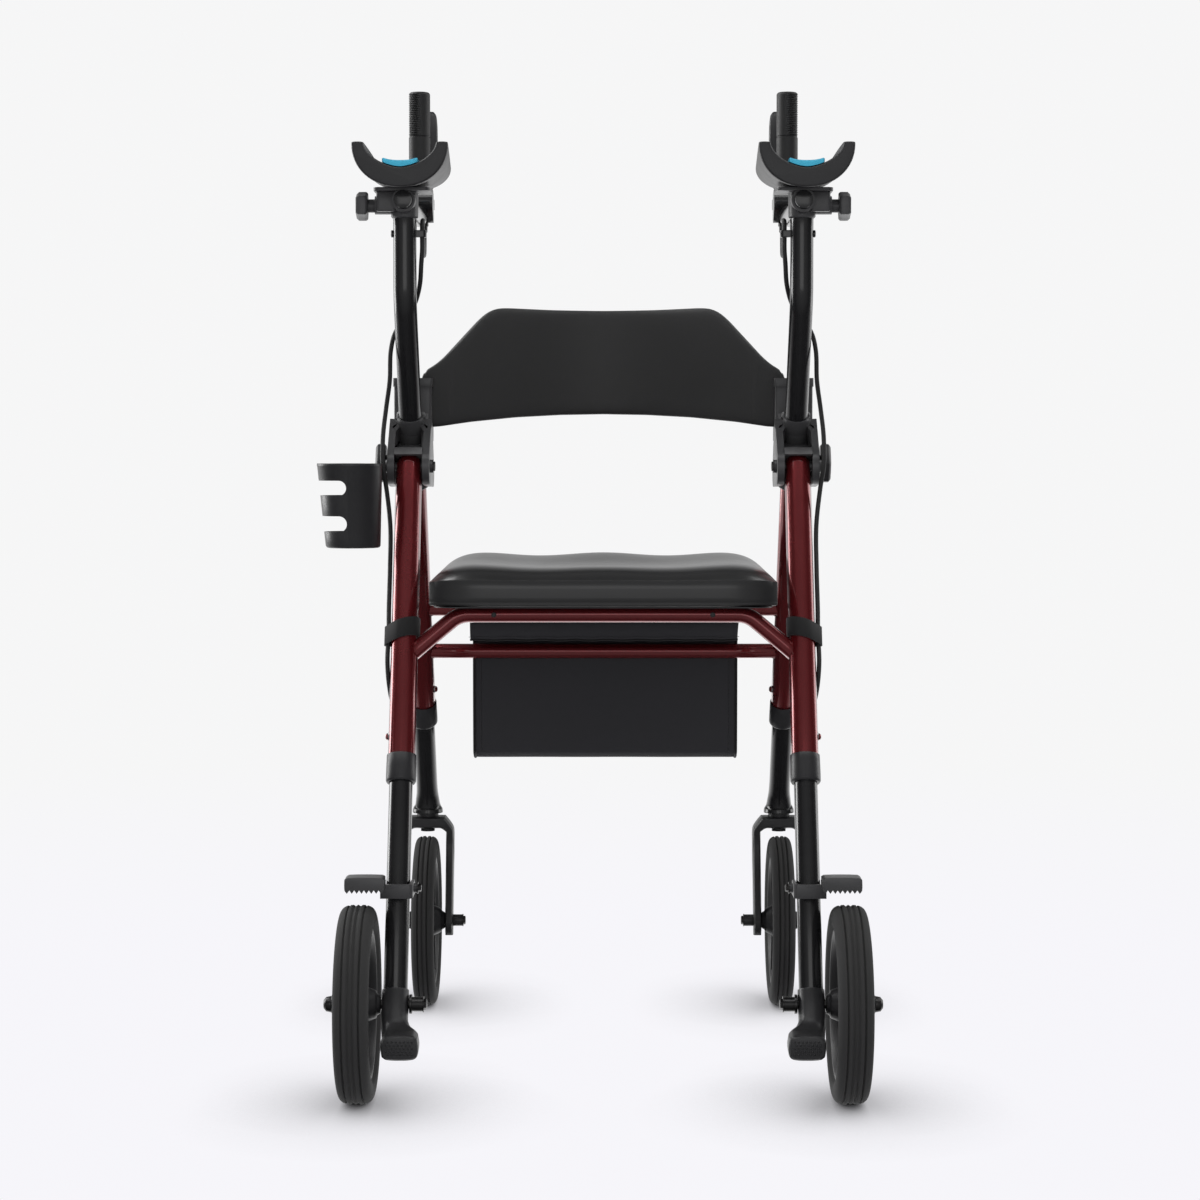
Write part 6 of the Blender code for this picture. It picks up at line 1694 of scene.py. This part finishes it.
def add_cable_ends(side, sign):
    """The threaded adjuster at the lever's housing and the ferrule at the stop on the lower leg."""
    route = cable_route()
    for label, base, axis, profile, body in (
            ("adjuster", route[0], -Z_AXIS, ADJUSTER, "reach"), ("ferrule", route[-1], REAR_UP, FERRULE, "rear_lower")):
        mesh = turned_mesh(f"cable_{label}_{side}", base, axis, profile, 24, sign, 30)
        show(f"cable_{label}_{side}", mesh, "dark_steel", f"{body}_{side}")


class RollatorCables(bpy.types.Operator):
    """Lays the brake cables"""

    bl_idname = "rollator.cables"
    bl_label = "Brake Cables"

    def execute(self, context):
        for side, sign in SIDES:
            add_cable(side, sign)
            add_cable_ends(side, sign)
        return {"FINISHED"}


# Small parts

BUTTON = (
    (0.0, 0.0048), (0.0010, 0.0046), (0.0010, 0.0034), (0.0022, 0.0032), (0.0034, 0.0024), (0.0040, 0.0010),
    (0.0041, 0))
REAR_BUTTON_ALONG = 0.288
FRONT_BUTTON_ALONG = 0.172
STUD = ((-0.0004, 0.0013), (0.0003, 0.0012), (0.0008, 0.0006), (0.0009, 0))
STUD_ROWS = 5
STUD_COLUMNS = 7
STUD_PITCH = (0.0040, 0.0032)
STUD_SHIFT = 0.0010
PLUG = ((0.0, 0.0028), (0.0011, 0.0027), (0.0013, 0.0020), (0.0009, 0.0018), (0.0009, 0))
PLUG_X = 0.117
PLUG_Z = 0.4936


def add_buttons(side, sign):
    """Spring buttons that lock the sliding legs, in rings on the frame tubes."""
    for label, centre, direction, body in (
            ("rear_leg", rear_point(REAR_BUTTON_ALONG), X_AXIS, "rear_frame"),
            ("front_leg", front_point(FRONT_BUTTON_ALONG), -X_AXIS, "front_frame")):
        name = f"{label}_button_{side}"
        base = centre + direction * (FRAME_TUBE - 0.0008)
        show(name, turned_mesh(name, base, direction, BUTTON, 24, sign, 50), "bright_steel", body)


def add_bolts(side, sign):
    """Heads and nuts on the fold pin, the brake's pivot and the axles."""
    fork = Vector((LEG_PLANE, FRONT_WHEEL.y, WHEEL_RADIUS))
    for label, centre, outs, radius, height, body in (
            ("fold_bolt", FOLD_PIN, (0.0262, -0.0262), 0.0052, 0.0020, "front_frame"),
            ("brake_bolt", rear_point(BRAKE_ALONG), (-0.0198,), 0.0042, 0.0032, f"brake_{side}"),
            ("rear_axle_nut", REAR_AXLE, (-0.0285,), 0.0058, 0.0030, f"rear_lower_{side}"),
            ("fork_nut", fork, (-0.0435,), 0.0052, 0.0026, f"caster_{side}")):
        spots = []
        for out in outs:
            spots.append((placed(sign, centre + X_AXIS * out), X_AXIS * math.copysign(1, sign * out)))
        add_heads(f"{label}_{side}", spots, radius, height, body)


def add_pedal_grip(side, sign):
    """Rows of low studs on the tipping pedal's near face, every other row set over."""
    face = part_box(f"rear_foot_{side}")[0].y
    first = Vector((LEG_PLANE - 0.0205, face - 0.0001, 0.0636))
    bm = bmesh.new()
    for row in range(STUD_ROWS):
        shift = STUD_SHIFT if row % 2 else -STUD_SHIFT
        for column in range(STUD_COLUMNS):
            step = Vector((STUD_PITCH[0] * column + shift, 0, STUD_PITCH[1] * row))
            lathe(bm, first + step, -Y_AXIS, STUD, 8)
    mesh = settled_mesh(f"pedal_studs_{side}", bm, sign, 50)
    show(f"pedal_studs_{side}", mesh, "moulded_black", f"rear_lower_{side}")


def add_end_plugs(side, sign):
    """Dark plugs in the holes of the rear seat tube."""
    name = f"seat_tube_plug_{side}"
    centre = Vector((PLUG_X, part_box("rear_seat_tube")[0].y + 0.0006, PLUG_Z))
    show(name, turned_mesh(name, centre, -Y_AXIS, PLUG, 20, sign, 40), "moulded_black", "rear_frame")


CUP_CENTRE = Vector((LEG_PLANE + 0.0602, FOLD_PIN.y - 0.0592, 0))
CUP_HEIGHT = 0.091
CUP_TOP = FOLD_PIN.z + 0.0034
CUP_BOTTOM = CUP_TOP - CUP_HEIGHT
CUP_SET = 0.0036
CUP_ARM = LEG_PLANE + 0.0365
CUP_ARM_AT = math.radians(55)
CUP_WALL = 0.0333
# The cup's outline as (height, radius): its foot over its bottom, its lip from its top, and its inside again over
# its bottom
CUP_FOOT = ((0.0, 0), (0.0, 0.0268), (0.0006, 0.0284), (0.0024, 0.0296))
CUP_LIP = ((-0.0030, 0.0350), (-0.0026, 0.0353), (-0.0004, 0.0353), (0.0, 0.0349), (0.0, 0.0334), (-0.0004, 0.0330))
CUP_INSIDE = ((0.0050, 0.0272), (0.0030, 0.0250), (0.0030, 0))
# The cup's slots as (share of the height, half width)
CUP_SLOTS = ((0.71, 0.0080), (0.286, 0.0085))
BLOCK_NEAR = LEG_PLANE + 0.0075
BLOCK_FAR = LEG_PLANE + 0.0298
BLOCK_HALF = 0.0165
BLOCK_POWER = 8.0


def slot_blank(share, half):
    """A block with the outline of a finger slot: a round end, open away from the frame."""
    x = CUP_CENTRE.x + 0.0090
    z = CUP_BOTTOM + CUP_HEIGHT * share
    far = CUP_CENTRE.x + 0.06
    outline = [(far, z + half), (far, z - half)]
    for step in range(13):
        angle = -math.pi / 2 + math.pi * step / 12
        outline.append((x - half * math.cos(angle), z + half * math.sin(angle)))
    near = CUP_CENTRE.y - 0.05
    rings = [[Vector((along, y, height)) for along, height in outline] for y in (near, near + 0.1)]
    return in_scene("slot_blank", lofted_mesh("slot_blank", rings, -1))


def cup_wall():
    """The cup's tapered wall with its slots, and its base set towards the frame."""
    bm = bmesh.new()
    profile = []
    for base, part in ((CUP_BOTTOM, CUP_FOOT), (CUP_TOP, CUP_LIP), (CUP_BOTTOM, CUP_INSIDE)):
        profile += [(base + height, radius) for height, radius in part]
    lathe(bm, CUP_CENTRE, Z_AXIS, profile, 96)
    for vert in bm.verts:
        vert.co.x -= CUP_SET * (CUP_TOP - vert.co.z) / (CUP_TOP - CUP_BOTTOM)
    cup = in_scene("cup_blank", settled_mesh("cup_blank", bm, -1))
    slots = [slot_blank(share, half) for share, half in CUP_SLOTS]
    for slot in slots:
        modifier = cup.modifiers.new("slot", "BOOLEAN")
        modifier.operation = "DIFFERENCE"
        modifier.solver = "EXACT"
        modifier.object = slot
    mesh = plain_mesh(cup)
    for slot in slots:
        bpy.data.objects.remove(slot)
    return eased_mesh("cup_wall", mesh, 0.0006)


def cup_arm():
    """The bent arm from the cup's wall to its boss on the bracket."""
    start_x = CUP_CENTRE.x - CUP_WALL * math.cos(CUP_ARM_AT)
    start_y = CUP_CENTRE.y + CUP_WALL * math.sin(CUP_ARM_AT)
    outline = [
        (start_x, start_y), (start_x + 0.0030, start_y + 0.0030), (CUP_ARM + 0.0035, FOLD_PIN.y - 0.0193),
        (CUP_ARM + 0.0035, FOLD_PIN.y + 0.0230), (CUP_ARM, FOLD_PIN.y + 0.0230), (CUP_ARM, FOLD_PIN.y - 0.0213),
        (start_x - 0.0010, start_y + 0.0005)]
    bm = bmesh.new()
    loft(bm, [[Vector((x, y, z)) for x, y in outline] for z in (CUP_TOP - 0.0281, CUP_TOP - 0.0051)])
    lathe(bm, Vector((0, FOLD_PIN.y + 0.0180, CUP_TOP - 0.0151)), X_AXIS, [
        (LEG_PLANE + 0.0233, 0), (LEG_PLANE + 0.0233, 0.0050), (CUP_ARM + 0.0010, 0.0050), (CUP_ARM + 0.0010, 0)], 24)
    return eased_mesh("cup_arm", settled_mesh("cup_arm", bm, -1, 50), 0.0005)


def add_cup():
    """The cup and its arm, on the left."""
    mesh = cup_wall()
    joined = bmesh.new()
    joined.from_mesh(mesh)
    joined.from_mesh(cup_arm())
    joined.to_mesh(mesh)
    joined.free()
    mesh.set_sharp_from_angle(angle=math.radians(40))
    show_form("cup_holder", mesh, "moulded_black")


def add_clamp_block(side, sign):
    """The square body of the trough's clamp, outside the bar's barrel."""
    node = f"trough_clamp_{side}"
    rings = []
    for z in (POST_TOP - 0.0010, POST_TOP + 0.0208):
        middle = Vector(((BLOCK_NEAR + BLOCK_FAR) / 2, POST_Y, z))
        rings.append(oval(middle, X_AXIS, Y_AXIS, (BLOCK_FAR - BLOCK_NEAR) / 2, BLOCK_HALF, 48, BLOCK_POWER))
    mesh = eased_mesh(f"clamp_block_{side}", lofted_mesh(f"clamp_block_{side}", rings, sign), 0.0016, 3)
    show(f"clamp_block_{side}", mesh, "moulded_grey", BODY_OF[node])


class RollatorSmallParts(bpy.types.Operator):
    """Makes the cup, the clamps' blocks, buttons, bolt heads, studs and plugs"""

    bl_idname = "rollator.small_parts"
    bl_label = "Small Parts"

    def execute(self, context):
        add_cup()
        for side, sign in SIDES:
            add_clamp_block(side, sign)
            add_buttons(side, sign)
            add_bolts(side, sign)
            add_pedal_grip(side, sign)
            add_end_plugs(side, sign)
        return {"FINISHED"}


# Stage

LAMP_AIM = Vector((MIDLINE, 0.0, 0.6))
# Each lamp's name, its place from the midline, its width and height, and whether it lights matt surfaces
LAMPS = (
    ("top", (0.0, -1.15, 3.3), 4.2, 1.1, True),
    ("front", (0.0, -4.6, 1.1), 3.0, 1.6, True),
    ("left", (-2.0, 0.9, 1.7), 1.1, 3.6, False),
    ("right", (2.0, 0.9, 1.7), 1.1, 3.6, False),
)
# How glossy surfaces see the room, by direction: factor and offset of the backdrop ahead and of the front behind,
# and how the backdrop dims upwards and to what
BACKDROP_RISE = (1.5, -0.15)
FRONT_RISE = (-1.8, -0.62)
UPWARD_FALL = -1.8
UPWARD_LEAST = 0.2
FLOOR_REACH = 14.0
SENSOR = 36.0
FAR_CLIP = 60.0


def floor_material(colour, glow, reach):
    """A pale floor with a soft painted shadow under what stands on it, that fades into the backdrop further out."""
    material = bpy.data.materials.new("floor")
    material.use_nodes = True
    tree = material.node_tree
    tree.nodes.clear()
    matt = add_node(tree, "ShaderNodeBsdfDiffuse", {"Color": rgba(colour)})
    distance = add_node(tree, "ShaderNodeVectorMath", {0: object_place(tree)}, operation="LENGTH")
    fade = math_node(tree, "MULTIPLY_ADD", distance.outputs["Value"], 0.5, -0.5, clamp=True)
    # Ambient occlusion dims the floor's glow near what stands on it: a painted shadow, not one cast by the lamps.
    near = add_node(tree, "ShaderNodeAmbientOcclusion", {"Distance": reach}, samples=16)
    even = add_node(tree, "ShaderNodeEmission", {
        "Color": mix_node(tree, "Color", fade, rgba(colour), rgba(glow)), "Strength": near.outputs["AO"]})
    path = tree.nodes.new("ShaderNodeLightPath")
    seen = add_node(tree, "ShaderNodeMixShader", {
        0: path.outputs["Is Camera Ray"], 1: matt.outputs[0], 2: even.outputs[0]})
    add_node(tree, "ShaderNodeOutputMaterial", {0: seen.outputs[0]})
    return material


def add_floor(look):
    corners = [(-FLOOR_REACH, -FLOOR_REACH), (FLOOR_REACH, -FLOOR_REACH), (FLOOR_REACH, FLOOR_REACH),
               (-FLOOR_REACH, FLOOR_REACH)]
    mesh = bpy.data.meshes.new("floor")
    mesh.from_pydata([(x, y, 0.0) for x, y in corners], [], [(0, 1, 2, 3)])
    mesh.materials.append(floor_material(look.floor_colour, look.backdrop_colour, look.shade_reach))
    floor = in_scene("floor", mesh)
    floor.visible_glossy = False


def add_camera(look):
    data = bpy.data.cameras.new("camera")
    data.lens = look.lens
    data.sensor_width = SENSOR
    data.clip_end = FAR_CLIP
    camera = in_scene("camera", data)
    camera.location = (MIDLINE, -look.eye_distance, look.eye_height)
    camera.rotation_euler = (math.pi / 2 - look.tilt, 0.0, look.turn)
    bpy.context.scene.camera = camera


def mirrored_room(tree, look):
    """What a glossy surface shows of the room: the pale backdrop ahead, dimmer above, and a faint front behind."""
    ways = tree.nodes.new("ShaderNodeTexCoord").outputs["Generated"]
    split = add_node(tree, "ShaderNodeSeparateXYZ", {0: ways}).outputs
    backdrop = math_node(tree, "MULTIPLY_ADD", split["Y"], *BACKDROP_RISE, clamp=True)
    dimmed = math_node(tree, "MULTIPLY_ADD", split["Z"], UPWARD_FALL, 1.0)
    backdrop = math_node(tree, "MULTIPLY", backdrop, math_node(tree, "MAXIMUM", dimmed, UPWARD_LEAST))
    front = math_node(tree, "MULTIPLY_ADD", split["Y"], *FRONT_RISE, clamp=True)
    room = math_node(tree, "MULTIPLY_ADD", front, look.front_gloss, backdrop)
    return math_node(tree, "MULTIPLY_ADD", room, 1 - look.room_gloss, look.room_gloss)


def add_world(look):
    """Even light for matt surfaces, the room for glossy ones, and the backdrop for the camera and through glass."""
    world = bpy.data.worlds.new("studio")
    bpy.context.scene.world = world
    world.use_nodes = True
    tree = world.node_tree
    tree.nodes.clear()
    ray = tree.nodes.new("ShaderNodeLightPath").outputs
    matt = math_node(tree, "SUBTRACT", 1.0, ray["Is Glossy Ray"])
    glossy = math_node(tree, "MULTIPLY", ray["Is Glossy Ray"], mirrored_room(tree, look))
    lit = math_node(tree, "MULTIPLY_ADD", matt, look.daylight, glossy)
    seen = math_node(tree, "MAXIMUM", ray["Is Camera Ray"], ray["Is Transmission Ray"])
    even = add_node(tree, "ShaderNodeBackground", {
        "Color": rgba(look.backdrop_colour), "Strength": math_node(tree, "MAXIMUM", seen, lit)})
    add_node(tree, "ShaderNodeOutputWorld", {0: even.outputs[0]})


def add_lamp(name, place, width, height, lights_matt, brightness):
    """A soft box. Its brightness is what a mirror would show of it."""
    data = bpy.data.lights.new(name, "AREA")
    data.shape = "RECTANGLE"
    data.size = width
    data.size_y = height
    data.energy = brightness * math.pi * width * height
    lamp = in_scene(name, data)
    lamp.location = Vector(place) + X_AXIS * MIDLINE
    lamp.rotation_euler = (LAMP_AIM - lamp.location).to_track_quat("-Z", "Y").to_euler()
    lamp.visible_camera = False
    lamp.visible_diffuse = lights_matt


class RollatorStage(bpy.types.Operator):
    """Sets the camera, the floor, the backdrop and the lamps"""

    bl_idname = "rollator.stage"
    bl_label = "Stage"

    def execute(self, context):
        look = context.scene.rollator_stage
        add_camera(look)
        add_floor(look)
        add_world(look)
        for lamp in LAMPS:
            add_lamp(*lamp, getattr(look, f"{lamp[0]}_lamp"))
        context.scene.view_settings.view_transform = "Standard"
        return {"FINISHED"}


# Panel and registration

class RollatorPanel(bpy.types.Panel):
    """Lists the steps that dress the rollator"""

    bl_idname = "VIEW3D_PT_rollator"
    bl_label = "Rollator"
    bl_space_type = "VIEW_3D"
    bl_region_type = "UI"
    bl_category = "Rollator"

    def draw(self, context):
        for group in (context.scene.rollator_stage, context.scene.rollator_finishes, context.scene.rollator_shapes):
            box = self.layout.box()
            for name in group.__annotations__:
                box.prop(group, name)
        for step in STEPS:
            self.layout.operator(step.bl_idname)


STEPS = (
    RollatorStage,
    RollatorFinishes,
    RollatorTrees,
    RollatorCables,
    RollatorFrame,
    RollatorWheels,
    RollatorArmRests,
    RollatorSeating,
    RollatorBag,
    RollatorSmallParts,
)
GROUPS = (RollatorStageSettings, RollatorFinishSettings, RollatorShapeSettings)


def register():
    for item in GROUPS + STEPS + (RollatorPanel,):
        bpy.utils.register_class(item)
    bpy.types.Scene.rollator_stage = PointerProperty(type=RollatorStageSettings)
    bpy.types.Scene.rollator_finishes = PointerProperty(type=RollatorFinishSettings)
    bpy.types.Scene.rollator_shapes = PointerProperty(type=RollatorShapeSettings)


def unregister():
    del bpy.types.Scene.rollator_stage
    del bpy.types.Scene.rollator_finishes
    del bpy.types.Scene.rollator_shapes
    for item in reversed(GROUPS + STEPS + (RollatorPanel,)):
        bpy.utils.unregister_class(item)


def main():
    register()
    bpy.ops.rollator.stage()
    bpy.ops.rollator.finishes()
    bpy.ops.rollator.trees()
    bpy.ops.rollator.cables()
    bpy.ops.rollator.frame()
    bpy.ops.rollator.wheels()
    bpy.ops.rollator.arm_rests()
    bpy.ops.rollator.seating()
    bpy.ops.rollator.bag()
    bpy.ops.rollator.small_parts()


if __name__ == "__main__":
    main()
